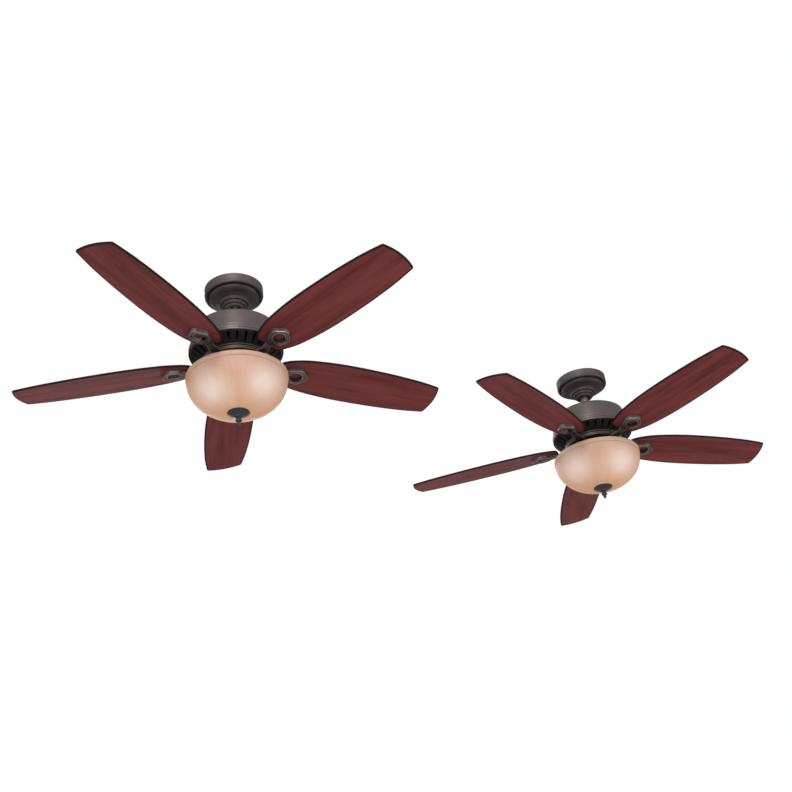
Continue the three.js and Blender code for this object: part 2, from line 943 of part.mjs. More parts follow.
function fan(side) {
  const group = new THREE.Group();
  const offset = bladeReach + circleGap / 2;
  group.position.x = side === "left" ? -offset : offset;
  for (const [name, [geometry, material]] of Object.entries(shapes)) {
    if (name !== "centre_stem") group.add(named(`${side}_${name}`, geometry, material));
  }
  group.add(rotorGroup(side), lampGroup(side));
  return group;
}

const pair = new THREE.Group();
for (const side of sides) pair.add(fan(side));

export default pair;
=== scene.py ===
"""The looks of a pair of five-blade ceiling fans with bowl lights, built round their solid model.

Lengths in the tables below are in millimetres, radii from a fan's own axis and depths below the ceiling.
Every finished mesh is in metres in the solid model's own frame.
"""

import math

import bmesh
import bpy
from mathutils import Matrix, Vector


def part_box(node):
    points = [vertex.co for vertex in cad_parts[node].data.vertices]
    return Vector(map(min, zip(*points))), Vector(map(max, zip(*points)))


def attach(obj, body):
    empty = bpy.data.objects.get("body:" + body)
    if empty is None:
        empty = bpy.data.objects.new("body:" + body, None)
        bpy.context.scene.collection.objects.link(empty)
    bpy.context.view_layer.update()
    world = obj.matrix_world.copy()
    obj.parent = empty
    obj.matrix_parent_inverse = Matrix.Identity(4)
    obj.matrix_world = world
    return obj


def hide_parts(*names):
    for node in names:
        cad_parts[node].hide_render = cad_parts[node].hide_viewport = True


bl_info = {
    "name": "Pair of ceiling fans",
    "version": (1, 0, 0),
    "blender": (4, 5, 0),
    "location": "3D View > Sidebar > Ceiling fans",
    "description": "Builds two five-blade ceiling fans with bowl lights round their solid model",
    "category": "Object",
}

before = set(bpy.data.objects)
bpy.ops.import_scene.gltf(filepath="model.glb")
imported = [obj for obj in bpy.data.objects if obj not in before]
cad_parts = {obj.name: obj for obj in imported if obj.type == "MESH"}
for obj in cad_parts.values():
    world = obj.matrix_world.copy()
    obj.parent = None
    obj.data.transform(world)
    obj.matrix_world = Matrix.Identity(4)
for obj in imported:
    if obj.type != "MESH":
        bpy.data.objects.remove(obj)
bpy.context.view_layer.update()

MM = 0.001
SIDES = ("left", "right")
BLADES = (1, 2, 3, 4, 5)
IMAGE_PIXELS = 792
SENSOR_MM = 36.0
SMOOTH_ANGLE = math.radians(38)
ROD_BORE = 13.6  # radius of what the rod passes through or sits in
CLEARANCE = 0.3  # between a piece and the one that it seats on
OUTWARD = Matrix.Rotation(math.pi / 2, 4, "Y")  # turns what faces +Z to face +X, away from the axis


# ---- Places taken from the solid model -----------------------------------------------------------


def axis_x(side):
    low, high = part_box(f"{side}_glass_bowl")
    return (low.x + high.x) / 2


def heading(side, node):
    """Direction of a node from its fan's axis, as an angle about +Z."""
    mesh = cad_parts[f"{side}_{node}"].data
    centre = sum((v.co for v in mesh.vertices), Vector()) / len(mesh.vertices)
    return math.atan2(centre.y, centre.x - axis_x(side))


def depth_top(node):
    return -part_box(f"left_{node}")[1].z / MM


def depth_bottom(node):
    return -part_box(f"left_{node}")[0].z / MM


def reach(node):
    low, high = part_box(f"left_{node}")
    return (high.x - low.x) / 2 / MM


# ---- Settings a user would change ----------------------------------------------------------------


class FanSettings(bpy.types.PropertyGroup):
    vent_count: bpy.props.IntProperty(
        name="Vent slots",
        description="Slots round the lower motor housing",
        default=30,
        min=8,
    )
    sheet_wall: bpy.props.FloatProperty(
        name="Sheet thickness",
        description="Wall of the pressed steel covers",
        default=1.2 * MM,
        subtype="DISTANCE",
    )
    edge_rounding: bpy.props.FloatProperty(
        name="Edge rounding",
        description="Radius of the pressed and turned edges",
        default=0.9 * MM,
        subtype="DISTANCE",
    )
    screw_radius: bpy.props.FloatProperty(
        name="Screw head radius",
        description="Radius of the pan heads on housings and blades",
        default=3.4 * MM,
        subtype="DISTANCE",
    )
    blade_edge: bpy.props.FloatProperty(
        name="Blade edge rounding",
        description="Radius of the rounding along a blade's edge",
        default=2.3 * MM,
        subtype="DISTANCE",
    )
    bronze: bpy.props.FloatVectorProperty(
        name="Bronze",
        description="Colour of the painted housings",
        default=(0.098, 0.076, 0.074),
        subtype="COLOR",
        size=3,
    )
    cherry: bpy.props.FloatVectorProperty(
        name="Cherry",
        description="Colour of the blade veneer",
        default=(0.166, 0.041, 0.040),
        subtype="COLOR",
        size=3,
    )
    cherry_streak: bpy.props.FloatVectorProperty(
        name="Cherry streaks",
        description="Colour of the darker grain in the veneer",
        default=(0.082, 0.018, 0.017),
        subtype="COLOR",
        size=3,
    )
    amber: bpy.props.FloatVectorProperty(
        name="Amber glass",
        description="Colour of the bowl away from its lamps",
        default=(0.46, 0.285, 0.215),
        subtype="COLOR",
        size=3,
    )
    glow: bpy.props.FloatVectorProperty(
        name="Lit glass",
        description="Colour of the bowl in front of its lamps",
        default=(0.58, 0.455, 0.390),
        subtype="COLOR",
        size=3,
    )


def settings():
    return bpy.context.scene.fan_settings


# ---- Mesh helpers --------------------------------------------------------------------------------


def softened(loop, radius, steps=3):
    """A closed loop of [radius, depth] points with its corners rounded."""
    rounded = []
    for i, corner in enumerate(loop):
        here = Vector(corner)
        if here.x < 1e-6:
            rounded.append(here)
            continue
        back = Vector(loop[i - 1]) - here
        ahead = Vector(loop[(i + 1) % len(loop)]) - here
        cut = min(radius, 0.45 * back.length, 0.45 * ahead.length)
        start = here + back.normalized() * cut
        end = here + ahead.normalized() * cut
        for k in range(steps + 1):
            t = k / steps
            rounded.append((1 - t) ** 2 * start + 2 * t * (1 - t) * here + t * t * end)
    return rounded


def walled(outline, wall):
    """Closes an open outline of [radius, depth] points into a shell, with its wall on the right-hand side."""
    points = [Vector(p) for p in outline]
    inner = []
    for i, here in enumerate(points):
        sides = []
        if i > 0:
            sides.append((here - points[i - 1]).normalized())
        if i < len(points) - 1:
            sides.append((points[i + 1] - here).normalized())
        normals = [Vector((-s.y, s.x)) for s in sides]
        mean = sum(normals, Vector((0, 0))).normalized()
        inner.append(here + mean * wall / max(0.35, mean.dot(normals[0])))
    return points + inner[::-1]


def curve_through(points, steps):
    """A smooth open curve through [radius, depth] points."""
    out = []
    for i in range(len(points) - 1):
        p0 = Vector(points[max(i - 1, 0)])
        p1, p2 = Vector(points[i]), Vector(points[i + 1])
        p3 = Vector(points[min(i + 2, len(points) - 1)])
        for k in range(steps):
            t = k / steps
            out.append(
                0.5 * (2 * p1 + (p2 - p0) * t + (2 * p0 - 5 * p1 + 4 * p2 - p3) * t**2)
                + 0.5 * (3 * p1 - p0 - 3 * p2 + p3) * t**3
            )
    out.append(Vector(points[-1]))
    return out


def turned(loop, steps=112, start=0.0):
    """A turned solid about the fan's axis, from a closed loop of [radius, depth] points in millimetres."""
    bm = bmesh.new()
    rings = []
    for point in loop:
        r, z = point[0] * MM, -point[1] * MM
        if r < 1e-7:
            rings.append([bm.verts.new((0, 0, z))])
            continue
        angles = (start + 2 * math.pi * k / steps for k in range(steps))
        rings.append([bm.verts.new((r * math.cos(a), r * math.sin(a), z)) for a in angles])
    for i, here in enumerate(rings):
        after = rings[(i + 1) % len(rings)]
        if len(here) == 1 and len(after) == 1:
            continue
        for k in range(steps):
            quad = [here[k % len(here)], here[(k + 1) % len(here)]]
            quad += [after[(k + 1) % len(after)], after[k % len(after)]]
            corners = list(dict.fromkeys(quad))
            bm.faces.new(corners)
    bmesh.ops.recalc_face_normals(bm, faces=bm.faces)
    return bm


def lofted(sections, ring=False):
    """A skin through sections of equal point counts, closed on itself or capped at both ends."""
    bm = bmesh.new()
    rows = [[bm.verts.new(p) for p in section] for section in sections]
    count = len(rows[0])
    for i in range(len(rows) if ring else len(rows) - 1):
        here, after = rows[i], rows[(i + 1) % len(rows)]
        for k in range(count):
            j = (k + 1) % count
            bm.faces.new((here[k], here[j], after[j], after[k]))
    if not ring:
        bm.faces.new(rows[0])
        bm.faces.new(rows[-1][::-1])
    bmesh.ops.recalc_face_normals(bm, faces=bm.faces)
    return bm


def beveled_box(low, high, bevel, segments=3):
    bm = bmesh.new()
    bmesh.ops.create_cube(bm, size=1.0)
    size = Vector(high) - Vector(low)
    centre = (Vector(high) + Vector(low)) / 2
    bm.transform(Matrix.Translation(centre) @ Matrix.Diagonal((*size, 1)))
    bmesh.ops.bevel(
        bm, geom=bm.edges[:], offset=bevel, segments=segments, profile=0.5, affect="EDGES"
    )
    return bm


def joined(*parts):
    """One mesh that holds several separate closed shells."""
    whole = bmesh.new()
    for part in parts:
        mesh = bpy.data.meshes.new("part")
        part.to_mesh(mesh)
        part.free()
        whole.from_mesh(mesh)
        bpy.data.meshes.remove(mesh)
    return whole


def smooth(mesh, angle=SMOOTH_ANGLE):
    mesh.shade_smooth()
    mesh.set_sharp_from_angle(angle=angle)
    return mesh


def mesh_from(bm, name):
    mesh = bpy.data.meshes.new(name)
    bm.to_mesh(mesh)
    bm.free()
    return smooth(mesh)


def linked(name, data):
    """An object in the scene that holds a mesh, a light or a camera."""
    obj = bpy.data.objects.new(name, data)
    bpy.context.scene.collection.objects.link(obj)
    return obj


def evaluated(obj, name):
    """The plain mesh that an object's modifiers make, with the object itself removed."""
    graph = bpy.context.evaluated_depsgraph_get()
    mesh = bpy.data.meshes.new_from_object(obj.evaluated_get(graph))
    mesh.name = name
    bpy.data.objects.remove(obj)
    return mesh


def combined(first, second, operation, name):
    """Two overlapping closed meshes as one: their union, or the first less the second."""
    body = linked("body", first)
    tool = linked("tool", second)
    modifier = body.modifiers.new("combined", "BOOLEAN")
    modifier.operation = operation
    modifier.solver = "EXACT"
    modifier.object = tool
    mesh = evaluated(body, name)
    bpy.data.objects.remove(tool)
    return mesh


def round_edges(obj, width, angle):
    """Rounds the edges of an object that are sharper than an angle in degrees."""
    rounding = obj.modifiers.new("rounding", "BEVEL")
    rounding.width = width
    rounding.segments = 2
    rounding.limit_method = "ANGLE"
    rounding.angle_limit = math.radians(angle)


def moved(mesh, matrix):
    copy = mesh.copy()
    copy.transform(matrix)
    return copy


def placed(side, piece, mesh, turn=0.0):
    """A copy of a mesh made about the z axis, turned and set at one fan's axis.

    Its place is in its vertices.
    """
    copy = mesh.copy()
    copy.transform(Matrix.Translation((axis_x(side), 0, 0)) @ Matrix.Rotation(turn, 4, "Z"))
    copy.name = f"{side}_{piece}_mesh"
    return linked(f"{side}_{piece}_look", copy)


def dress(obj, material, body, slot, *nodes):
    """Gives a finished piece its material and the body it rides on, and hides the nodes it stands for. slot
    is not used.
    """
    if obj.data.materials:
        obj.data.materials.clear()
    for one in material if isinstance(material, (list, tuple)) else [material]:
        obj.data.materials.append(one)
    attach(obj, body)
    if nodes:
        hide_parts(*nodes)
    return obj


def dress_both(piece, mesh, material, body, slot, *nodes, turn=None):
    """Places the same mesh in both fans. body is a part of the fan, such as hung or rotor, or root."""
    for side in SIDES:
        angle = turn(side) if turn else 0.0
        obj = placed(side, piece, mesh, angle)
        rider = body if body == "root" else f"{side}_{body}"
        dress(obj, material, rider, slot, *(f"{side}_{node}" for node in nodes))


def rotor_turn(side):
    return heading(side, "blade_1")


def lamp_turn(side):
    return heading(side, "lamp_holder_1")


# ---- Geometry Nodes: copies round an axis --------------------------------------------------------


def round_copies_tree():
    """Turns copies of the incoming shape about the z axis and joins them into one mesh."""
    name = "Copies round an axis"
    if name in bpy.data.node_groups:
        return bpy.data.node_groups[name]
    tree = bpy.data.node_groups.new(name, "GeometryNodeTree")
    face = tree.interface
    face.new_socket(name="Shape", in_out="INPUT", socket_type="NodeSocketGeometry")
    count = face.new_socket(name="Count", in_out="INPUT", socket_type="NodeSocketInt")
    count.default_value = 3
    start = face.new_socket(name="Start angle", in_out="INPUT", socket_type="NodeSocketFloat")
    start.subtype = "ANGLE"
    weld = face.new_socket(name="Weld distance", in_out="INPUT", socket_type="NodeSocketFloat")
    weld.default_value = 0.00001
    face.new_socket(name="Material", in_out="INPUT", socket_type="NodeSocketMaterial")
    face.new_socket(name="Shape", in_out="OUTPUT", socket_type="NodeSocketGeometry")
    nodes, links = tree.nodes, tree.links
    given = nodes.new("NodeGroupInput")
    points = nodes.new("GeometryNodePoints")
    links.new(given.outputs["Count"], points.inputs["Count"])
    index = nodes.new("GeometryNodeInputIndex")
    step = nodes.new("ShaderNodeMath")
    step.operation = "DIVIDE"
    step.inputs[0].default_value = 2 * math.pi
    links.new(given.outputs["Count"], step.inputs[1])
    angle = nodes.new("ShaderNodeMath")
    angle.operation = "MULTIPLY_ADD"
    links.new(index.outputs[0], angle.inputs[0])
    links.new(step.outputs[0], angle.inputs[1])
    links.new(given.outputs["Start angle"], angle.inputs[2])
    euler = nodes.new("ShaderNodeCombineXYZ")
    links.new(angle.outputs[0], euler.inputs["Z"])
    rotation = nodes.new("FunctionNodeEulerToRotation")
    links.new(euler.outputs[0], rotation.inputs[0])
    copies = nodes.new("GeometryNodeInstanceOnPoints")
    links.new(points.outputs[0], copies.inputs["Points"])
    links.new(given.outputs["Shape"], copies.inputs["Instance"])
    links.new(rotation.outputs[0], copies.inputs["Rotation"])
    real = nodes.new("GeometryNodeRealizeInstances")
    links.new(copies.outputs[0], real.inputs[0])
    merged = nodes.new("GeometryNodeMergeByDistance")
    links.new(real.outputs[0], merged.inputs["Geometry"])
    links.new(given.outputs["Weld distance"], merged.inputs["Distance"])
    finish = nodes.new("GeometryNodeSetMaterial")
    links.new(merged.outputs[0], finish.inputs["Geometry"])
    links.new(given.outputs["Material"], finish.inputs["Material"])
    made = nodes.new("NodeGroupOutput")
    links.new(finish.outputs[0], made.inputs["Shape"])
    return tree


def round_copies(mesh, count, name, material, start=0.0):
    """count copies of a mesh turned about the z axis, as one plain mesh."""
    obj = linked(name, mesh)
    modifier = obj.modifiers.new("copies", "NODES")
    tree = round_copies_tree()
    modifier.node_group = tree
    values = {"Count": count, "Start angle": start, "Material": material}
    for socket in tree.interface.items_tree:
        if socket.in_out == "INPUT" and socket.name in values:
            modifier[socket.identifier] = values[socket.name]
    return evaluated(obj, name)


def screw_head(radius):
    """A pan head with a cross recess, standing on z = 0 and facing +Z."""
    r = radius / MM
    dome = [(0, 0), (r, 0), (r, -0.3 * r), (0.86 * r, -0.52 * r), (0.5 * r, -0.66 * r), (0, -0.7 * r)]
    head = mesh_from(turned(softened(dome, 0.12 * r, 2), 24), "head")
    half = Vector((0.62 * radius, 0.13 * radius, 0.3 * radius))
    for turn in (0, math.pi / 2):
        arm = beveled_box(-half, half, 0.04 * radius, 1)
        arm.transform(Matrix.Translation((0, 0, 0.72 * radius)) @ Matrix.Rotation(turn, 4, "Z"))
        head = combined(head, mesh_from(arm, "arm"), "DIFFERENCE", "head")
    return smooth(head)


def ring_of_screws(piece, head, place, count, finish, body, slot, start=0.0):
    """Copies of a screw head, moved to its place and turned about the axis, in both fans."""
    screws = round_copies(moved(head, place), count, piece, FINISHES[finish], start)
    dress_both(piece, screws, FINISHES[finish], body, slot)


# ---- Shader groups -------------------------------------------------------------------------------


def shader_group(name, inputs, outputs, build):
    """A node group with named sockets, built once. build(nodes, links, given, made) fills it.

    Each input has a name, a kind and a default, each output a name and a kind.
    """
    if name in bpy.data.node_groups:
        return bpy.data.node_groups[name]
    tree = bpy.data.node_groups.new(name, "ShaderNodeTree")
    for socket, kind, value in inputs:
        made = tree.interface.new_socket(name=socket, in_out="INPUT", socket_type=f"NodeSocket{kind}")
        if value is not None:
            made.default_value = value
    for socket, kind in outputs:
        tree.interface.new_socket(name=socket, in_out="OUTPUT", socket_type=f"NodeSocket{kind}")
    given = tree.nodes.new("NodeGroupInput")
    result = tree.nodes.new("NodeGroupOutput")
    build(tree.nodes, tree.links, given, result)
    return tree


def noise(nodes, links, vector, scale, detail=2.0, roughness=0.5):
    node = nodes.new("ShaderNodeTexNoise")
    node.inputs["Scale"].default_value = scale
    node.inputs["Detail"].default_value = detail
    node.inputs["Roughness"].default_value = roughness
    if vector is not None:
        links.new(vector, node.inputs["Vector"])
    return node.outputs["Fac"]


def mapped(nodes, links, vector, scale):
    node = nodes.new("ShaderNodeMapping")
    node.inputs["Scale"].default_value = scale
    links.new(vector, node.inputs["Vector"])
    return node.outputs["Vector"]


def ranged(nodes, links, value, low, high, new_low=0.0, new_high=1.0):
    node = nodes.new("ShaderNodeMapRange")
    node.inputs["From Min"].default_value = low
    node.inputs["From Max"].default_value = high
    node.inputs["To Min"].default_value = new_low
    node.inputs["To Max"].default_value = new_high
    links.new(value, node.inputs["Value"])
    return node.outputs["Result"]


def blended(nodes, links, factor, first, second):
    """A colour mix. first and second are sockets or colours."""
    node = nodes.new("ShaderNodeMix")
    node.data_type = "RGBA"
    if isinstance(factor, float):
        node.inputs["Factor"].default_value = factor
    else:
        links.new(factor, node.inputs["Factor"])
    for source, socket in ((first, node.inputs[6]), (second, node.inputs[7])):
        if isinstance(source, bpy.types.NodeSocket):
            links.new(source, socket)
        else:
            socket.default_value = (*source, 1.0)
    return node.outputs[2]


def math_node(nodes, links, operation, first, second):
    node = nodes.new("ShaderNodeMath")
    node.operation = operation
    for source, socket in ((first, node.inputs[0]), (second, node.inputs[1])):
        if isinstance(source, bpy.types.NodeSocket):
            links.new(source, socket)
        else:
            socket.default_value = source
    return node.outputs[0]


def paint_group():
    """Sprayed paint on metal: cloudy tone, worn edges that are also painted highlights, and a fine orange
    peel.
    """

    def build(nodes, links, given, made):
        place = given.outputs["Vector"]
        cloud = noise(nodes, links, place, 22.0, 3.0, 0.55)
        peel = noise(nodes, links, place, 620.0, 2.0, 0.6)
        geometry = nodes.new("ShaderNodeNewGeometry")
        # Convex edges lighten towards worn metal, and this is a painted highlight as well.
        rubbed_and_highlight = ranged(nodes, links, geometry.outputs["Pointiness"], 0.515, 0.6)
        wear_and_highlight = math_node(nodes, links, "MULTIPLY", rubbed_and_highlight, given.outputs["Wear and highlight"])
        tone = ranged(nodes, links, cloud, 0.3, 0.7, 0.86, 1.14)
        shade = nodes.new("ShaderNodeVectorMath")
        shade.operation = "SCALE"
        links.new(given.outputs["Color"], shade.inputs[0])
        links.new(tone, shade.inputs["Scale"])
        color = blended(nodes, links, wear_and_highlight, shade.outputs[0], given.outputs["Bare metal and highlight"])
        links.new(color, made.inputs["Color"])
        rough = ranged(nodes, links, cloud, 0.3, 0.7, -0.05, 0.05)
        rough = math_node(nodes, links, "ADD", rough, given.outputs["Roughness"])
        links.new(rough, made.inputs["Roughness"])
        links.new(peel, made.inputs["Height"])

    return shader_group(
        "Sprayed paint",
        [
            ("Vector", "Vector", None),
            ("Color", "Color", (0.1, 0.1, 0.1, 1)),
            ("Bare metal and highlight", "Color", (0.35, 0.28, 0.25, 1)),
            ("Wear and highlight", "Float", 0.3),
            ("Roughness", "Float", 0.4),
        ],
        [
            ("Color", "Color"),
            ("Roughness", "Float"),
            ("Height", "Float"),
        ],
        build,
    )


def veneer_group():
    """Cherry veneer: streaks that run along the blade, with fine pores between them."""

    def build(nodes, links, given, made):
        place = given.outputs["Vector"]
        bands = noise(nodes, links, mapped(nodes, links, place, (2.6, 26.0, 1.0)), 1.0, 3.0, 0.5)
        figure = noise(nodes, links, mapped(nodes, links, place, (5.0, 95.0, 1.0)), 1.0, 5.0, 0.6)
        pores = noise(nodes, links, mapped(nodes, links, place, (38.0, 900.0, 1.0)), 1.0, 3.0, 0.7)
        streak = ranged(nodes, links, bands, 0.42, 0.68)
        fine = ranged(nodes, links, figure, 0.38, 0.72)
        dark = math_node(nodes, links, "MULTIPLY", streak, 0.62)
        dark = math_node(nodes, links, "ADD", dark, math_node(nodes, links, "MULTIPLY", fine, 0.34))
        color = blended(nodes, links, dark, given.outputs["Light"], given.outputs["Dark"])
        pore = ranged(nodes, links, pores, 0.56, 0.7, 0.0, 0.35)
        color = blended(nodes, links, pore, color, (0.03, 0.008, 0.007))
        links.new(color, made.inputs["Color"])
        rough = ranged(nodes, links, figure, 0.3, 0.7, 0.34, 0.46)
        links.new(rough, made.inputs["Roughness"])
        links.new(math_node(nodes, links, "SUBTRACT", figure, pore), made.inputs["Height"])

    return shader_group(
        "Cherry veneer",
        [
            ("Vector", "Vector", None),
            ("Light", "Color", (0.16, 0.04, 0.036, 1)),
            ("Dark", "Color", (0.07, 0.02, 0.016, 1)),
        ],
        [
            ("Color", "Color"),
            ("Roughness", "Float"),
            ("Height", "Float"),
        ],
        build,
    )


def cloudy_glass_group():
    """Frosted amber glass: lighter where a lamp is near, with soft clouds and faint upright brush marks.

    Its vector holds the direction round the bowl in X and Y, and the height in metres in Z.
    """

    def build(nodes, links, given, made):
        place = given.outputs["Vector"]
        clouds = noise(nodes, links, mapped(nodes, links, place, (1.0, 1.0, 9.0)), 2.4, 3.0, 0.55)
        brushed = noise(nodes, links, mapped(nodes, links, place, (1.0, 1.0, 1.6)), 17.0, 3.0, 0.6)
        lift = ranged(nodes, links, clouds, 0.3, 0.7, -0.14, 0.10)
        lift = math_node(nodes, links, "ADD", lift, ranged(nodes, links, brushed, 0.3, 0.7, -0.08, 0.08))
        near = math_node(nodes, links, "ADD", given.outputs["Glow"], lift)
        color = blended(nodes, links, near, given.outputs["Amber"], given.outputs["Lit"])
        links.new(color, made.inputs["Color"])
        links.new(brushed, made.inputs["Height"])

    return shader_group(
        "Cloudy glass",
        [
            ("Vector", "Vector", None),
            ("Glow", "Float", 0.5),
            ("Amber", "Color", (0.7, 0.4, 0.2, 1)),
            ("Lit", "Color", (0.86, 0.7, 0.55, 1)),
        ],
        [("Color", "Color"), ("Height", "Float")],
        build,
    )


def seen_lamp_group():
    """How near the line of sight passes to a lamp, as a soft glow from 0 to 1."""

    def build(nodes, links, given, made):
        across = nodes.new("ShaderNodeVectorMath")
        across.operation = "CROSS_PRODUCT"
        links.new(given.outputs["Towards lamp"], across.inputs[0])
        links.new(given.outputs["Line of sight"], across.inputs[1])
        miss = nodes.new("ShaderNodeVectorMath")
        miss.operation = "LENGTH"
        links.new(across.outputs["Vector"], miss.inputs[0])
        ratio = math_node(nodes, links, "DIVIDE", miss.outputs["Value"], given.outputs["Spread"])
        square = math_node(nodes, links, "MULTIPLY", ratio, ratio)
        soft = math_node(nodes, links, "MULTIPLY", square, -1.0)
        links.new(math_node(nodes, links, "EXPONENT", soft, 0.0), made.inputs["Glow"])

    return shader_group(
        "Seen lamp",
        [
            ("Towards lamp", "Vector", None),
            ("Line of sight", "Vector", None),
            ("Spread", "Float", 0.056),
        ],
        [("Glow", "Float")],
        build,
    )


# ---- Materials -----------------------------------------------------------------------------------

# Painted lamp light: the bowl deeper amber where it turns away from the eye.
LIMB_AMBER = (0.52, 0.245, 0.120)  # of the bowl where it turns away
# Painted shade: a darker line in the groove under the bowl's rim.
LINE_AMBER = (0.26, 0.13, 0.075)  # of the line under the bowl's rim
# Painted lamp light: the lowest part of the bowl warmer in colour and brighter.
LOW_WARMTH = (1.12, 0.98, 0.76)  # what the lowest part of the bowl multiplies its amber by


def new_material(name):
    """A fresh material, with its nodes, links and Principled shader."""
    material = bpy.data.materials.new(name)
    material.use_nodes = True
    tree = material.node_tree
    return material, tree.nodes, tree.links, tree.nodes["Principled BSDF"]


def object_place(nodes):
    return nodes.new("ShaderNodeTexCoord").outputs["Object"]


def dimmed(color, share):
    return tuple(share * c for c in color)


def grouped(nodes, group):
    node = nodes.new("ShaderNodeGroup")
    node.node_tree = group
    return node


def bump(nodes, links, shader, height, strength, distance):
    node = nodes.new("ShaderNodeBump")
    node.inputs["Strength"].default_value = strength
    node.inputs["Distance"].default_value = distance
    links.new(height, node.inputs["Height"])
    links.new(node.outputs["Normal"], shader.inputs["Normal"])


def painted(name, color, bare_and_highlight, wear_and_highlight, roughness, metallic, shine=0.5, shade=0.0, relief_shade_and_highlight=0.0):
    """Paint or plating on metal.

    shine is its mirror-like reflection, shade how far painted shade darkens it where it turns away from the
    eye, and the last setting how far painted shade darkens its hollows and a painted highlight in worn-metal
    colour lights its ridges.
    """
    material, nodes, links, shader = new_material(name)
    paint = grouped(nodes, paint_group())
    links.new(object_place(nodes), paint.inputs["Vector"])
    paint.inputs["Color"].default_value = (*color, 1)
    paint.inputs["Bare metal and highlight"].default_value = (*bare_and_highlight, 1)
    paint.inputs["Wear and highlight"].default_value = wear_and_highlight
    paint.inputs["Roughness"].default_value = roughness
    facing = nodes.new("ShaderNodeLayerWeight")
    facing.inputs["Blend"].default_value = 0.5
    # Painted shade: darker, with less reflection, where the surface turns away from the eye.
    limb_shade = ranged(nodes, links, facing.outputs["Facing"], 0.22, 0.72, 0.0, shade)
    curve = nodes.new("ShaderNodeNewGeometry").outputs["Pointiness"]
    # Painted highlight on ridges in worn-metal colour, and painted shade in hollows.
    ridge_highlight = ranged(nodes, links, curve, 0.505, 0.56, 0.0, relief_shade_and_highlight)
    tone = blended(nodes, links, ridge_highlight, paint.outputs["Color"], bare_and_highlight)
    hollow_shade = ranged(nodes, links, curve, 0.44, 0.495, relief_shade_and_highlight, 0.0)
    shadow = math_node(nodes, links, "MAXIMUM", limb_shade, hollow_shade)
    # The painted shade colour is a quarter of the paint's own colour.
    tone = blended(nodes, links, shadow, tone, dimmed(color, 0.25))
    links.new(tone, shader.inputs["Base Color"])
    links.new(paint.outputs["Roughness"], shader.inputs["Roughness"])
    towards = math_node(nodes, links, "SUBTRACT", 1.0, limb_shade)
    links.new(math_node(nodes, links, "MULTIPLY", towards, metallic), shader.inputs["Metallic"])
    links.new(math_node(nodes, links, "MULTIPLY", towards, shine), shader.inputs["Specular IOR Level"])
    bump(nodes, links, shader, paint.outputs["Height"], 0.12, 0.0004)
    return material


def plastic(name, color, roughness):
    material, nodes, links, shader = new_material(name)
    place = object_place(nodes)
    grain = noise(nodes, links, place, 420.0, 2.0)
    cloud = noise(nodes, links, place, 30.0, 2.0)
    tone = blended(nodes, links, ranged(nodes, links, cloud, 0.35, 0.65), color, dimmed(color, 0.82))
    links.new(tone, shader.inputs["Base Color"])
    rough = ranged(nodes, links, cloud, 0.3, 0.7, roughness - 0.05, roughness + 0.05)
    links.new(rough, shader.inputs["Roughness"])
    bump(nodes, links, shader, grain, 0.15, 0.0002)
    return material


def cherry_veneer():
    material, nodes, links, shader = new_material("cherry_veneer")
    along = nodes.new("ShaderNodeUVMap")
    along.uv_map = "grain"
    veneer = grouped(nodes, veneer_group())
    links.new(along.outputs["UV"], veneer.inputs["Vector"])
    veneer.inputs["Light"].default_value = (*settings().cherry, 1)
    veneer.inputs["Dark"].default_value = (*settings().cherry_streak, 1)
    links.new(veneer.outputs["Color"], shader.inputs["Base Color"])
    links.new(veneer.outputs["Roughness"], shader.inputs["Roughness"])
    shader.inputs["Specular IOR Level"].default_value = 0.02
    bump(nodes, links, shader, veneer.outputs["Height"], 0.10, 0.0003)
    return material


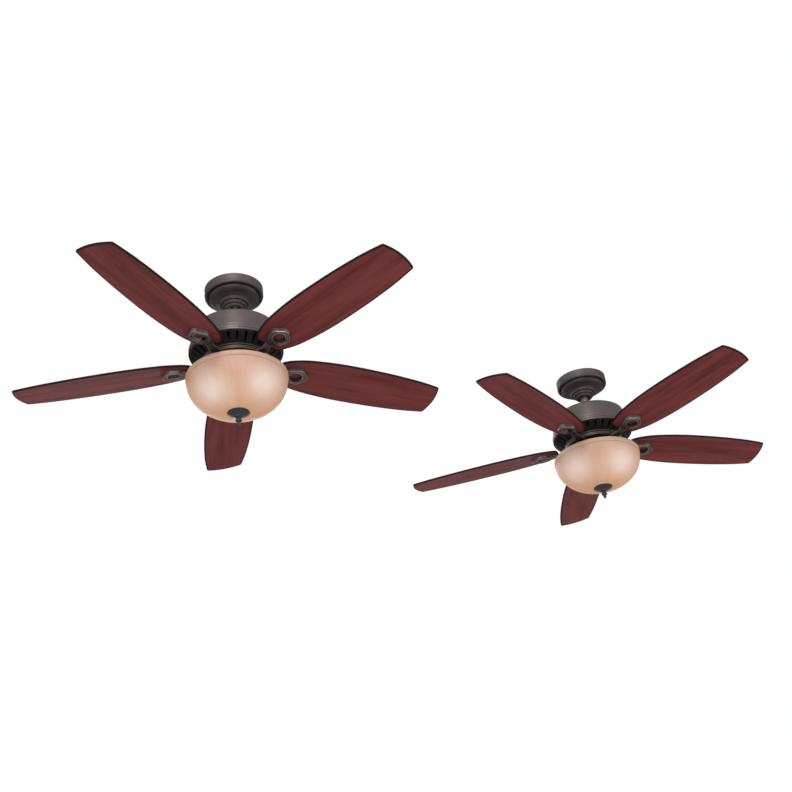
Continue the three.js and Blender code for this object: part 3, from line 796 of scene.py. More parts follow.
def amber_glass():
    """Frosted glass with its lamps' light painted in as a glow in its own colour. Where the line of sight
    passes near a lamp inside, it looks lighter.
    """
    material, nodes, links, shader = new_material("amber_glass")
    sight = nodes.new("ShaderNodeNewGeometry")
    seen = []
    for name in LAMP_MARKS:
        towards = nodes.new("ShaderNodeAttribute")
        towards.attribute_name = name
        turned_with = nodes.new("ShaderNodeVectorTransform")
        turned_with.vector_type = "VECTOR"
        turned_with.convert_from, turned_with.convert_to = "OBJECT", "WORLD"
        links.new(towards.outputs["Vector"], turned_with.inputs["Vector"])
        blur = grouped(nodes, seen_lamp_group())
        links.new(turned_with.outputs["Vector"], blur.inputs["Towards lamp"])
        links.new(sight.outputs["Incoming"], blur.inputs["Line of sight"])
        seen.append(blur.outputs["Glow"])
    near = math_node(nodes, links, "MINIMUM", math_node(nodes, links, "ADD", *seen), 1.0)
    brushed = nodes.new("ShaderNodeAttribute")
    brushed.attribute_name = "bowl_place"
    glass = grouped(nodes, cloudy_glass_group())
    links.new(brushed.outputs["Vector"], glass.inputs["Vector"])
    links.new(near, glass.inputs["Glow"])
    height = nodes.new("ShaderNodeSeparateXYZ")
    links.new(brushed.outputs["Vector"], height.inputs["Vector"])
    # Painted lamp light: warmer colour and more glow towards the bottom of the bowl.
    low = ranged(nodes, links, height.outputs["Z"], -0.100, -0.020, 1.0, 0.0)
    amber = tuple(settings().amber)
    warmer = tuple(share * c for share, c in zip(LOW_WARMTH, amber))
    warm = blended(nodes, links, low, amber, warmer)
    links.new(warm, glass.inputs["Amber"])
    glass.inputs["Lit"].default_value = (*settings().glow, 1)
    # Painted lamp light: deeper amber where the bowl turns away from the eye.
    facing = nodes.new("ShaderNodeLayerWeight")
    facing.inputs["Blend"].default_value = 0.25
    limb = ranged(nodes, links, facing.outputs["Facing"], 0.18, 0.75, 0.0, 0.9)
    tone = blended(nodes, links, limb, glass.outputs["Color"], LIMB_AMBER)
    # Painted shade: a darker line in the groove under the bowl's rim.
    below_line = math_node(nodes, links, "ADD", height.outputs["Z"], BOWL_BAND)
    off_line = math_node(nodes, links, "ABSOLUTE", below_line, 0.0)
    line = ranged(nodes, links, off_line, 0.0006, 0.0022, 0.45, 0.0)
    tone = blended(nodes, links, line, tone, LINE_AMBER)
    links.new(tone, shader.inputs["Base Color"])
    links.new(tone, shader.inputs["Emission Color"])
    # Painted lamp light: the glass gives off light, more where a lamp is seen behind it.
    glowing = ranged(nodes, links, near, 0.0, 1.0, 0.06, 0.27)
    lit_below = math_node(nodes, links, "MULTIPLY", low, 0.11)
    links.new(math_node(nodes, links, "ADD", glowing, lit_below), shader.inputs["Emission Strength"])
    shader.inputs["Roughness"].default_value = 0.5
    shader.inputs["Specular IOR Level"].default_value = 0.2
    bump(nodes, links, shader, glass.outputs["Height"], 0.08, 0.0004)
    return material


def opal_glass():
    material, nodes, links, shader = new_material("opal_glass")
    cloud = noise(nodes, links, object_place(nodes), 60.0, 2.0)
    tone = blended(nodes, links, cloud, (0.93, 0.90, 0.84), (0.86, 0.82, 0.74))
    links.new(tone, shader.inputs["Base Color"])
    links.new(tone, shader.inputs["Emission Color"])
    shader.inputs["Emission Strength"].default_value = 0.2
    shader.inputs["Roughness"].default_value = 0.25
    return material


def copper_winding():
    material, nodes, links, shader = new_material("copper_winding")
    layers = mapped(nodes, links, object_place(nodes), (1.0, 1.0, 40.0))
    wires = noise(nodes, links, layers, 60.0, 2.0)
    tone = blended(nodes, links, wires, (0.42, 0.17, 0.08), (0.20, 0.08, 0.04))
    links.new(tone, shader.inputs["Base Color"])
    shader.inputs["Metallic"].default_value = 0.8
    shader.inputs["Roughness"].default_value = 0.4
    bump(nodes, links, shader, wires, 0.4, 0.0006)
    return material


FINISHES = {}


def make_finishes():
    """Every material of the fans, by name."""
    bronze = tuple(settings().bronze)
    cast = (0.054, 0.039, 0.039)
    # Colour of worn metal, also used for painted highlights on edges and ridges.
    rubbed_and_highlight = (0.30, 0.24, 0.22)
    FINISHES["bronze"] = painted(
        "bronze_paint", bronze, rubbed_and_highlight,
        wear_and_highlight=0.35, roughness=0.36, metallic=0.45, shine=0.35, shade=0.85, relief_shade_and_highlight=0.35,
    )
    # A darker copy of the bronze paint: painted shade on the canopy.
    FINISHES["canopy"] = painted(
        "canopy_shaded_paint", dimmed(bronze, 0.62), rubbed_and_highlight,
        wear_and_highlight=0.30, roughness=0.44, metallic=0.22, shine=0.2, shade=0.85, relief_shade_and_highlight=0.5,
    )
    FINISHES["casting"] = painted(
        "bronze_casting", cast, rubbed_and_highlight,
        wear_and_highlight=0.30, roughness=0.34, metallic=0.45, shine=0.45, shade=0.5, relief_shade_and_highlight=0.7,
    )
    FINISHES["cap"] = painted(
        "cap_bronze", dimmed(bronze, 0.24), rubbed_and_highlight,
        wear_and_highlight=0.40, roughness=0.32, metallic=0.35, shine=0.35, shade=0.4, relief_shade_and_highlight=0.7,
    )
    # A near-black copy of the bronze paint: painted shade in the vent slots and inside the irons' eyes.
    FINISHES["vents"] = painted(
        "vent_shade_paint", dimmed(bronze, 0.14), bronze,
        wear_and_highlight=0.25, roughness=0.60, metallic=0.10, shine=0.1, shade=0.3,
    )
    FINISHES["zinc"] = painted(
        "zinc_plate", (0.50, 0.50, 0.48), (0.7, 0.7, 0.68), wear_and_highlight=0.4, roughness=0.34, metallic=0.95
    )
    FINISHES["screw"] = painted(
        "screw_black", (0.045, 0.040, 0.038), (0.25, 0.22, 0.2), wear_and_highlight=0.5, roughness=0.35, metallic=0.6
    )
    FINISHES["edge"] = painted(
        "blade_edge_paint", (0.020, 0.009, 0.009), (0.03, 0.015, 0.015),
        wear_and_highlight=0.1, roughness=0.7, metallic=0.0, shine=0.08,
    )
    FINISHES["cherry"] = cherry_veneer()
    FINISHES["amber"] = amber_glass()
    FINISHES["opal"] = opal_glass()
    FINISHES["winding"] = copper_winding()
    FINISHES["holder"] = plastic("holder_plastic", (0.78, 0.75, 0.68), 0.55)
    FINISHES["black"] = plastic("black_plastic", (0.030, 0.029, 0.028), 0.4)


# ---- Pieces at the ceiling -----------------------------------------------------------------------


CANOPY_SCREW_DEPTH = 9
OUTLET_SCREW_SPACING = 88.9
OUTLET_SCREW_RADIUS = 4.2
PLATE_UNDERSIDE = 2.6
PIPE_WALL = 3.0
PIN_RADIUS = 3.0


def canopy_mesh():
    radius = reach("canopy")
    bottom = depth_bottom("canopy")
    dome = curve_through([(73.4, 32.4), (71.6, 36.4), (65, 40.6), (56, 43.4), (48, 47.4)], 5)
    outline = [(radius, 0), (radius, 25.6), (radius - 0.9, 27.4), (radius - 3.4, 28.4), (radius - 7.4, 28.0)]
    outline += [(radius - 9.4, 25.8), (71.4, 25.8), (71.0, 30.6), *dome, (44.8, 49.2), (44, 55.4)]
    outline += [(42.6, 57.2), (37.4, 57.4), (36.2, 58.6), (35.6, 63.6), (34.2, 65.2), (30, 65.4)]
    outline += [(29, 66.6), (28.4, 71.4), (27, 72.9), (22.6, bottom)]
    wall = settings().sheet_wall / MM
    return mesh_from(turned(softened(walled(outline, -wall), 0.8), 128), "canopy")


class FANS_OT_canopies(bpy.types.Operator):
    """Stepped ceiling covers with a groove under the band"""

    bl_idname = "fans.canopies"
    bl_label = "Canopies"

    def execute(self, context):
        mesh = canopy_mesh()
        dress_both("canopy", mesh, FINISHES["canopy"], "root", "bronze", "canopy")
        head = screw_head(settings().screw_radius)
        place = Matrix.Translation((reach("canopy") * MM, 0, -CANOPY_SCREW_DEPTH * MM)) @ OUTWARD
        ring_of_screws("canopy_screws", head, place, 2, "screw", "root", "bronze")
        return {"FINISHED"}


def refined(node, name, bevel):
    """A copy of a solid piece with its loose triangles merged and its edges rounded."""
    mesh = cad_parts[node].data.copy()
    bm = bmesh.new()
    bm.from_mesh(mesh)
    bmesh.ops.remove_doubles(bm, verts=bm.verts, dist=0.00001)
    limit = math.radians(1)
    bmesh.ops.dissolve_limit(bm, angle_limit=limit, verts=bm.verts, edges=bm.edges)
    bm.to_mesh(mesh)
    bm.free()
    obj = linked(name, mesh)
    obj.data.materials.clear()
    round_edges(obj, bevel, 35)
    return linked(name, smooth(evaluated(obj, name)))


def hanger_ball_mesh():
    """The swivel ball, bored for the rod."""
    low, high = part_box("left_hanger_ball")
    radius = (high.y - low.y) / 2 / MM
    centre = -(high.z + low.z) / 2 / MM
    half = (high.z - low.z) / 2 / MM
    reach_angle = math.asin(half / radius)
    loop = [(ROD_BORE, centre - half), (ROD_BORE, centre + half)]
    for i in range(29):
        angle = reach_angle * (1 - i / 14)
        loop.append((radius * math.cos(angle), centre + radius * math.sin(angle)))
    return mesh_from(turned(softened(loop, 0.5, 2), 64), "hanger_ball")


def downrod_mesh():
    """The pipe, with the pin that crosses its upper end."""
    top, bottom = depth_top("downrod"), depth_bottom("downrod")
    low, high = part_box("left_downrod")
    radius = (high.y - low.y) / 2 / MM
    inside = radius - PIPE_WALL
    pipe = [(radius, top), (radius, bottom), (inside, bottom), (inside, top)]
    tube = mesh_from(turned(softened(pipe, 0.6), 64), "pipe")
    half = (high.x - low.x) / 2 / MM
    pin_loop = [(0, -half), (PIN_RADIUS, -half), (PIN_RADIUS, half), (0, half)]
    pin = turned(softened(pin_loop, 0.5), 24)
    pin.transform(Matrix.Translation((0, 0, -(depth_top("hanger_ball") - PIN_RADIUS) * MM)) @ OUTWARD)
    return smooth(combined(tube, mesh_from(pin, "pin"), "UNION", "downrod"))


class FANS_OT_hangers(bpy.types.Operator):
    """Ceiling plates with their cradles, swivel balls and rods"""

    bl_idname = "fans.hangers"
    bl_label = "Ceiling plates, balls and rods"

    def execute(self, context):
        for side in SIDES:
            node = f"{side}_hanger_bracket"
            plate = refined(node, f"{node}_look", 0.4 * MM)
            dress(plate, FINISHES["zinc"], "root", "steel", node)
        head = screw_head(OUTLET_SCREW_RADIUS * MM)
        place = Matrix.Translation((OUTLET_SCREW_SPACING / 2 * MM, 0, -PLATE_UNDERSIDE * MM))
        downward = place @ Matrix.Rotation(math.pi, 4, "X")
        ring_of_screws("outlet_screws", head, downward, 2, "zinc", "root", "steel")
        ball = hanger_ball_mesh()
        dress_both("hanger_ball", ball, FINISHES["black"], "hung", "black_plastic", "hanger_ball")
        dress_both("downrod", downrod_mesh(), FINISHES["bronze"], "hung", "bronze", "downrod")
        return {"FINISHED"}


# ---- Motor and housings --------------------------------------------------------------------------


COLLAR_RADIUS = 21
SET_SCREW_DEPTH = 122
SET_SCREW_RADIUS = 3.0
HOUSING_SCREW_CIRCLE = 31  # radius of the circle that the screws stand on
SWITCH_SCREW_RADIUS = 2.6
VENT_TOP = (130.5, 229.4)  # radius and depth where the vented wall starts
VENT_FOOT = (98.4, 254.6)
VENT_SLOT_WIDTH = 7.0
VENT_MARGIN = 4.0  # solid sheet above and below each slot
VENT_WALL = 1.6
SLOT_HALF = (4.3, 4.4)  # half the width and half the height of the slider's slot


def yoke_mesh():
    """The collar that clamps the rod, with the shaft below it."""
    top, bottom = depth_top("motor_shaft"), depth_bottom("motor_shaft")
    floor = depth_bottom("downrod") + CLEARANCE
    rim = COLLAR_RADIUS
    loop = [(20, top), (rim, top + 1.5), (rim, top + 5), (20, top + 6), (20, 131), (rim, 132.5)]
    loop += [(rim, 134.6), (33, 134.6), (33, 139.4), (14, 139.4), (9, 148), (9, bottom)]
    loop += [(4.5, bottom), (4.5, floor), (ROD_BORE, floor), (ROD_BORE, top)]
    return mesh_from(turned(softened(loop, 0.5), 72), "yoke")


def rotor_mesh():
    """The drum and the hub that carries the irons."""
    top, bottom = depth_top("motor_rotor"), depth_bottom("motor_rotor")
    hub = reach("motor_rotor")
    hub_top = bottom - 12
    loop = [(9.6, top), (90, top), (92, top + 2), (92, hub_top), (99, hub_top), (hub, hub_top + 3.5)]
    loop += [(hub, hub_top + 5.5), (hub - 1.4, hub_top + 6.5), (hub - 1.4, bottom - 1.5), (hub - 3, bottom)]
    loop += [(9.6, bottom), (9.6, hub_top), (86, hub_top), (86, top + 4), (9.6, top + 4)]
    return mesh_from(turned(softened(loop, 0.7), 128), "motor_rotor")


class FANS_OT_motors(bpy.types.Operator):
    """Shaft with its collar, rotor drum and stator"""

    bl_idname = "fans.motors"
    bl_label = "Motors"

    def execute(self, context):
        dress_both("yoke", yoke_mesh(), FINISHES["bronze"], "hung", "steel", "motor_shaft")
        casting = FINISHES["casting"]
        dress_both("motor_rotor", rotor_mesh(), casting, "rotor", "bronze", "motor_rotor", turn=rotor_turn)
        head = screw_head(SET_SCREW_RADIUS * MM)
        place = Matrix.Translation((COLLAR_RADIUS * MM, 0, -SET_SCREW_DEPTH * MM)) @ OUTWARD
        ring_of_screws("set_screws", head, place, 2, "zinc", "hung", "steel", math.pi / 2)
        for side in SIDES:
            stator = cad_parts[f"{side}_stator"]
            stator.data.materials.clear()
            stator.data.materials.append(FINISHES["winding"])
        return {"FINISHED"}


def upper_housing_mesh():
    top = depth_top("upper_housing")
    rim = depth_bottom("upper_housing")
    bead = reach("upper_housing")
    neck = 21.3
    shoulder = curve_through([(40, top), (64, top + 2), (88, top + 7), (106, 145), (116, 150.2)], 4)
    outline = [(neck, top), (30, top), *shoulder, (120.5, 153.6), (122, 157)]
    outline += [(124.5, 168), (133.4, 208.5), (133.9, 211.4), (133.2, 213.2), (134.0, 214.8)]
    outline += [(bead - 0.7, 216.0), (bead, 218.0), (bead, 220.4), (bead - 0.8, 222.6)]
    outline += [(134.6, 224.2), (134.4, 225.4), (136.0, 226.4), (136.2, rim - 1.2), (135.2, rim)]
    wall = settings().sheet_wall / MM
    return mesh_from(turned(softened(walled(outline, -wall), 0.9), 160), "upper_housing")


def vent_period_mesh(count, upper, lower, slot_width, margin):
    """One slot of the vented wall with half a rib on each side, as an open sheet."""
    period = 2 * math.pi / count
    (r0, d0), (r1, d1) = upper, lower
    length = math.hypot(r1 - r0, d1 - d0)
    bm = bmesh.new()
    made = {}

    def at(angle, s):
        key = (round(angle, 7), round(s, 5))
        if key not in made:
            r = (r0 + (r1 - r0) * s / length) * MM
            depth = (d0 + (d1 - d0) * s / length) * MM
            made[key] = bm.verts.new((r * math.cos(angle), r * math.sin(angle), -depth))
        return made[key]

    half = slot_width / 2
    mean_radius = (r0 + r1) / 2
    arc_steps = 8
    arc = [math.pi * k / arc_steps for k in range(arc_steps + 1)]
    columns = [-half * math.cos(a) / mean_radius for a in arc]
    ends = [half * (1 - math.sin(a)) for a in arc]
    rows = [margin + half + (length - 2 * margin - 2 * half) * k / 3 for k in range(4)]
    for i in range(arc_steps):
        a, b = columns[i], columns[i + 1]
        upper_a, upper_b = margin + ends[i], margin + ends[i + 1]
        lower_a, lower_b = length - margin - ends[i], length - margin - ends[i + 1]
        bm.faces.new((at(a, 0), at(b, 0), at(b, upper_b), at(a, upper_a)))
        bm.faces.new((at(a, lower_a), at(b, lower_b), at(b, length), at(a, length)))
    for side in (-1, 1):
        edges = [side * half / mean_radius, side * (half / mean_radius + period / 2) / 2, side * period / 2]
        for a, b in zip(edges, edges[1:]):
            for s, t in zip([0, *rows], [*rows, length]):
                bm.faces.new((at(a, s), at(b, s), at(b, t), at(a, t)))
    mesh = bpy.data.meshes.new("vent_period")
    bm.to_mesh(mesh)
    bm.free()
    return mesh


def vented_wall_mesh():
    count = settings().vent_count
    sheet = vent_period_mesh(count, VENT_TOP, VENT_FOOT, VENT_SLOT_WIDTH, VENT_MARGIN)
    wall = round_copies(sheet, count, "vented_wall", FINISHES["vents"], math.pi / count)
    obj = linked("vented_wall", wall)
    bm = bmesh.new()
    bm.from_mesh(obj.data)
    bmesh.ops.remove_doubles(bm, verts=bm.verts, dist=0.00002)
    bmesh.ops.recalc_face_normals(bm, faces=bm.faces)
    lowest = min(bm.faces, key=lambda f: f.calc_center_median().z)
    if lowest.normal.z > 0:
        bmesh.ops.reverse_faces(bm, faces=bm.faces)
    bm.to_mesh(obj.data)
    bm.free()
    thick = obj.modifiers.new("wall", "SOLIDIFY")
    thick.thickness = VENT_WALL * MM
    thick.offset = -1
    round_edges(obj, 0.35 * MM, 50)
    return smooth(evaluated(obj, "vented_wall"))


def lower_rings_mesh():
    """The upper and lower rings that the vented wall joins."""
    footing = depth_bottom("lower_housing")
    outer = 134.4
    upper = [(outer, 222.5), (outer, 229.2), (131.5, 230.6), (129.6, 230.4)]
    upper += [(129.4, 228.4), (133, 227.4), (133, 222.5)]
    lower = [(99.2, 253.6), (99.4, 255.4), (97.6, footing), (94.6, footing), (94.6, 255.2), (97, 253.2)]
    rings = joined(turned(softened(upper, 0.5), 160), turned(softened(lower, 0.5), 160))
    return mesh_from(rings, "lower_rings")


class FANS_OT_housings(bpy.types.Operator):
    """Drum-shaped upper housing and the slotted housing below it"""

    bl_idname = "fans.housings"
    bl_label = "Motor housings"

    def execute(self, context):
        cover = upper_housing_mesh()
        dress_both("upper_housing", cover, FINISHES["bronze"], "hung", "bronze", "upper_housing")
        # The vented wall takes the near-black paint: painted shade in its slots.
        dress_both("vented_wall", vented_wall_mesh(), FINISHES["vents"], "hung", "bronze", "lower_housing")
        dress_both("lower_rings", lower_rings_mesh(), FINISHES["casting"], "hung", "bronze")
        head = screw_head(settings().screw_radius)
        place = Matrix.Translation((HOUSING_SCREW_CIRCLE * MM, 0, -depth_top("upper_housing") * MM))
        ring_of_screws("housing_screws", head, place, 4, "screw", "hung", "bronze", math.pi / 4)
        return {"FINISHED"}


def switch_housing_mesh():
    top, bottom = depth_top("switch_housing"), depth_bottom("switch_housing")
    radius = reach("switch_housing")
    loop = [(9.4, top), (93, top), (97, top + 1.8), (radius, top + 4), (radius, bottom - 4)]
    loop += [(96.5, bottom - 2), (92, bottom), (82, bottom), (82, bottom - 1.6), (91, bottom - 1.8)]
    loop += [(96.2, bottom - 5), (96.2, top + 5), (92.4, top + 1.8), (9.4, top + 1.8)]
    shell = mesh_from(turned(softened(loop, 0.6), 144), "switch_housing")
    low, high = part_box("left_reverse_slider")
    centre = (low.z + high.z) / 2
    across, up = SLOT_HALF
    inside = (-across * MM, (radius - 8) * MM, centre - up * MM)
    outside = (across * MM, (radius + 3) * MM, centre + up * MM)
    slot = mesh_from(beveled_box(inside, outside, 0.8 * MM, 2), "slot")
    return smooth(combined(shell, slot, "DIFFERENCE", "switch_housing"))


def slider_mesh():
    """The thumb piece, ribbed for grip."""
    low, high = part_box("left_reverse_slider")
    shift = Vector((axis_x("left"), 0, 0))
    low, high = low - shift, high - shift
    half = 4 * MM
    thumb = beveled_box((-half, low.y, low.z), (half, high.y - 0.7 * MM, high.z), 0.4 * MM)
    wall = reach("switch_housing") - 6.5
    flange = beveled_box((low.x, wall * MM - 3 * MM, low.z), (high.x, wall * MM, high.z), 0.3 * MM)
    ribs = []
    face, rib_half, reach_half = high.y - 1.0 * MM, 0.35 * MM, half * 0.85
    for k in range(3):
        z = low.z + (high.z - low.z) * (k + 0.5) / 3
        corners = (-reach_half, face, z - rib_half), (reach_half, high.y, z + rib_half)
        ribs.append(beveled_box(*corners, 0.15 * MM, 2))
    return mesh_from(joined(thumb, flange, *ribs), "reverse_slider")


class FANS_OT_switch_housings(bpy.types.Operator):
    """Switch housings with the slider that reverses the fan"""

    bl_idname = "fans.switch_housings"
    bl_label = "Switch housings"

    def execute(self, context):
        housing, slider = switch_housing_mesh(), slider_mesh()
        dress_both("switch_housing", housing, FINISHES["bronze"], "hung", "bronze", "switch_housing")
        dress_both("reverse_slider", slider, FINISHES["black"], "switch", "black_plastic", "reverse_slider")
        radius = reach("switch_housing") * MM
        middle = -(depth_top("switch_housing") + 3 + depth_bottom("switch_housing") - 2) / 2 * MM
        place = Matrix.Translation((radius, 0, middle)) @ OUTWARD
        head = screw_head(SWITCH_SCREW_RADIUS * MM)
        ring_of_screws("switch_screws", head, place, 3, "screw", "hung", "bronze", math.radians(30))
        return {"FINISHED"}


# ---- Blades and irons ----------------------------------------------------------------------------

BLADE_STATIONS = [(127, 28), (133, 39), (160, 53), (215, 67), (320, 76.5), (455, 76), (570, 69), (650, 58)]
BLADE_TIP_BULGE = 10.0
BLADE_CORNER = 8.0  # radius of the corners at the tip, more than the rounding and the band together
BLADE_CORNER_CENTRE = (6.65, 7.2)  # of that radius, in from the corner of the last station
BLADE_CORNER_TURN = (math.radians(8), math.radians(73))  # from the side's direction to the tip's
BLADE_BAND = 2.6  # width of the dark band along the edge
BLADE_PITCH = math.radians(11)
BLADE_THICKNESS = 6.0
LOOP_OUTLINE = [(230, 0), (198, 33.5), (165, 24.6), (151, 14), (145, 12.6), (145, 0)]
EYE_CENTRE = 186.0
EYE_SIZE = (18.5, 14.8)
ARM_WIDTH = 26.0
ARM_REACH = (62.0, 122.0, 150.0, 169.0)  # foot, start and end of its rise, inner edge of the eye


IRON_SCREWS = ((220.0, 0.0), (194.0, 24.0), (194.0, -24.0))  # along and across each blade


def blade_depth():
    """Depth of the blades' mid-plane."""
    return (depth_top("blade_1") + depth_bottom("blade_1")) / 2


def blade_turn(side, i):
    return rotor_turn(side) + (i - 1) * 2 * math.pi / len(BLADES)


def under_blade(mesh):
    """Moves a mesh from the frame of a level blade at z = 0 to the place of the pitched blade along +X."""
    mesh.transform(Matrix.Translation((0, 0, -blade_depth() * MM)) @ Matrix.Rotation(-BLADE_PITCH, 4, "X"))
    return mesh


def blade_outline():
    """Half the outline of a blade, from the middle of its root round to the middle of its tip."""
    side = curve_through(BLADE_STATIONS, 8)[:-1]
    root_x, root_half = BLADE_STATIONS[0]
    root = [(root_x, root_half * k / 6) for k in range(6)]
    centre = Vector(BLADE_STATIONS[-1]) - Vector(BLADE_CORNER_CENTRE)
    first, last = BLADE_CORNER_TURN
    tip = []
    for k in range(8):
        turn = first + (last - first) * k / 7
        tip.append(centre + BLADE_CORNER * Vector((math.sin(turn), math.cos(turn))))
    start_x, start_half = tip[-1]
    bulge = tip_reach() - start_x
    for k in range(1, 15):
        across = 1 - k / 14
        tip.append((start_x + bulge * (1 - across**2), start_half * across))
    return [Vector(p) for p in root] + side + [Vector(p) for p in tip]


def tip_reach():
    """Reach of a blade's rounded tip from the fan's axis."""
    return BLADE_STATIONS[-1][0] + BLADE_TIP_BULGE * 0.98


def blade_mesh():
    """A blade along +X, level, with its mid-plane at z = 0. Its edge faces use the second material."""
    half = blade_outline()
    loop = half + [Vector((p.x, -p.y)) for p in reversed(half[1:-1])]
    bm = bmesh.new()
    low = [bm.verts.new((p.x * MM, p.y * MM, -BLADE_THICKNESS / 2 * MM)) for p in loop]
    floor = bm.faces.new(low)
    top = bmesh.ops.extrude_face_region(bm, geom=[floor])["geom"]
    raised = [g for g in top if isinstance(g, bmesh.types.BMVert)]
    bmesh.ops.translate(bm, verts=raised, vec=(0, 0, BLADE_THICKNESS * MM))
    bmesh.ops.recalc_face_normals(bm, faces=bm.faces)
    rims = [e for e in bm.edges if abs(e.verts[0].co.z - e.verts[1].co.z) < 1e-9]
    width = settings().blade_edge
    bmesh.ops.bevel(
        bm, geom=rims, offset=width, segments=3, profile=0.5, affect="EDGES", clamp_overlap=True
    )
    broad = [f for f in bm.faces if len(f.verts) > 20]
    bmesh.ops.inset_individual(bm, faces=broad, thickness=BLADE_BAND * MM, depth=0)
    grain = bm.loops.layers.uv.new("grain")
    for face in bm.faces:
        face.material_index = 0 if face in broad else 1
        for corner in face.loops:
            corner[grain].uv = (corner.vert.co.x, corner.vert.co.y)
    return mesh_from(bm, "blade")


class FANS_OT_blades(bpy.types.Operator):
    """Five pitched cherry blades a fan, with dark painted edges"""

    bl_idname = "fans.blades"
    bl_label = "Blades"

    def execute(self, context):
        mesh = under_blade(blade_mesh())
        for s, side in enumerate(SIDES):
            for i in BLADES:
                node = f"blade_{i}"
                blade = placed(side, node, mesh, blade_turn(side, i))
                board = i + len(BLADES) * s
                for corner in blade.data.uv_layers["grain"].data:
                    corner.uv = corner.uv + Vector((1.7 * board, 0.31 * board))
                finish = [FINISHES["cherry"], FINISHES["edge"]]
                dress(blade, finish, f"{side}_rotor", "cherry", f"{side}_{node}")
        return {"FINISHED"}


def loop_section(flat):
    """Shares of the way in to the eye and depths under the blade. flat runs from 0, ridged, to 1, smooth."""
    ridged = [(0, 0), (0, 1.5), (0.05, 6.0), (0.10, 9.4), (0.14, 10.4), (0.20, 10.6), (0.26, 9.6)]
    ridged += [(0.30, 8.5), (0.36, 8.7), (0.41, 9.6), (0.48, 9.6), (0.54, 8.6), (0.58, 7.6), (0.64, 7.8)]
    ridged += [(0.70, 9.0), (0.76, 9.6), (0.88, 9.6), (0.96, 8.9), (1, 7.4), (1, 0)]
    smooth_depth = 7.4
    return [(share, depth + (min(depth, smooth_depth) - depth) * flat) for share, depth in ridged]


def eye_point(angle):
    reach_x, reach_y = EYE_SIZE
    radius = 1 / math.hypot(math.cos(angle) / reach_x, math.sin(angle) / reach_y)
    return Vector((EYE_CENTRE + radius * math.cos(angle), radius * math.sin(angle)))


def loop_mesh():
    """The iron's loop: a thick diamond-shaped ring with ridges round an oval eye."""
    top = -BLADE_THICKNESS / 2 - CLEARANCE
    half = [Vector(p) for p in LOOP_OUTLINE]
    whole = half + [Vector((p.x, -p.y)) for p in reversed(half[1:-1])]
    outline = []
    for point in softened(whole, 13, 8):
        if not outline or (point - outline[-1]).length > 0.6:
            outline.append(point)
    dense = []
    for i, point in enumerate(outline):
        after = outline[(i + 1) % len(outline)]
        parts = max(1, round((after - point).length / 3.0))
        dense += [point.lerp(after, k / parts) for k in range(parts)]
    sections = []
    for outer in dense:
        angle = math.atan2(outer.y, outer.x - EYE_CENTRE)
        inner = eye_point(angle)
        from_hub = math.pi - abs(angle)
        flat = min(1.0, max(0.0, 1.35 - from_hub / 0.62))
        ring = []
        for share, depth in loop_section(flat):
            place = outer.lerp(inner, share)
            ring.append((place.x * MM, place.y * MM, (top - depth) * MM))
        sections.append(ring)
    return under_blade(mesh_from(lofted(sections, ring=True), "loop"))


def arm_mesh():
    """The iron's arm, from its foot under the hub out to the eye, with ribs that fan out over the loop."""
    foot_depth = depth_bottom("motor_rotor") + CLEARANCE
    blade_under = blade_depth() + BLADE_THICKNESS / 2 + 0.8
    foot, rise, level, end = ARM_REACH
    thin, thick, groove, ribs, across, steps = 5.6, 9.0, 1.7, 4, 32, 56
    sections = []
    for i in range(steps + 1):
        x = foot + (end - foot) * i / steps
        t = min(1.0, max(0.0, (x - rise) / (level - rise)))
        ease = t * t * (3 - 2 * t)
        flare = max(0.0, (x - level + 6) / (end - level + 6))
        depth = foot_depth + (blade_under - foot_depth) * ease
        tilt = -BLADE_PITCH * ease
        width = ARM_WIDTH - 2.4 * math.sin(math.pi * t) + 17.0 * flare**1.2
        thickness = thin + (thick - thin) * min(1.0, flare * 1.6)
        outline = [(width / 2 - 1.0, 0), (-width / 2 + 1.0, 0), (-width / 2, -1.2)]
        for k in range(across + 1):
            u = k / across
            wave = 0.5 - 0.5 * math.cos(2 * math.pi * ribs * u - math.pi)
            shoulder = 1.6 * max(0.0, abs(2 * u - 1) - 0.9) / 0.1
            lift = groove * wave**1.4 * (1 - 0.9 * abs(2 * u - 1) ** 8)
            outline.append((width * (u - 0.5), -thickness + lift + shoulder))
        outline.append((width / 2, -1.2))
        ring = []
        for y, z in outline:
            turned_y = y * math.cos(tilt) - z * math.sin(tilt)
            turned_z = y * math.sin(tilt) + z * math.cos(tilt)
            ring.append((x * MM, turned_y * MM, (turned_z - depth) * MM))
        sections.append(ring)
    return mesh_from(lofted(sections), "arm")


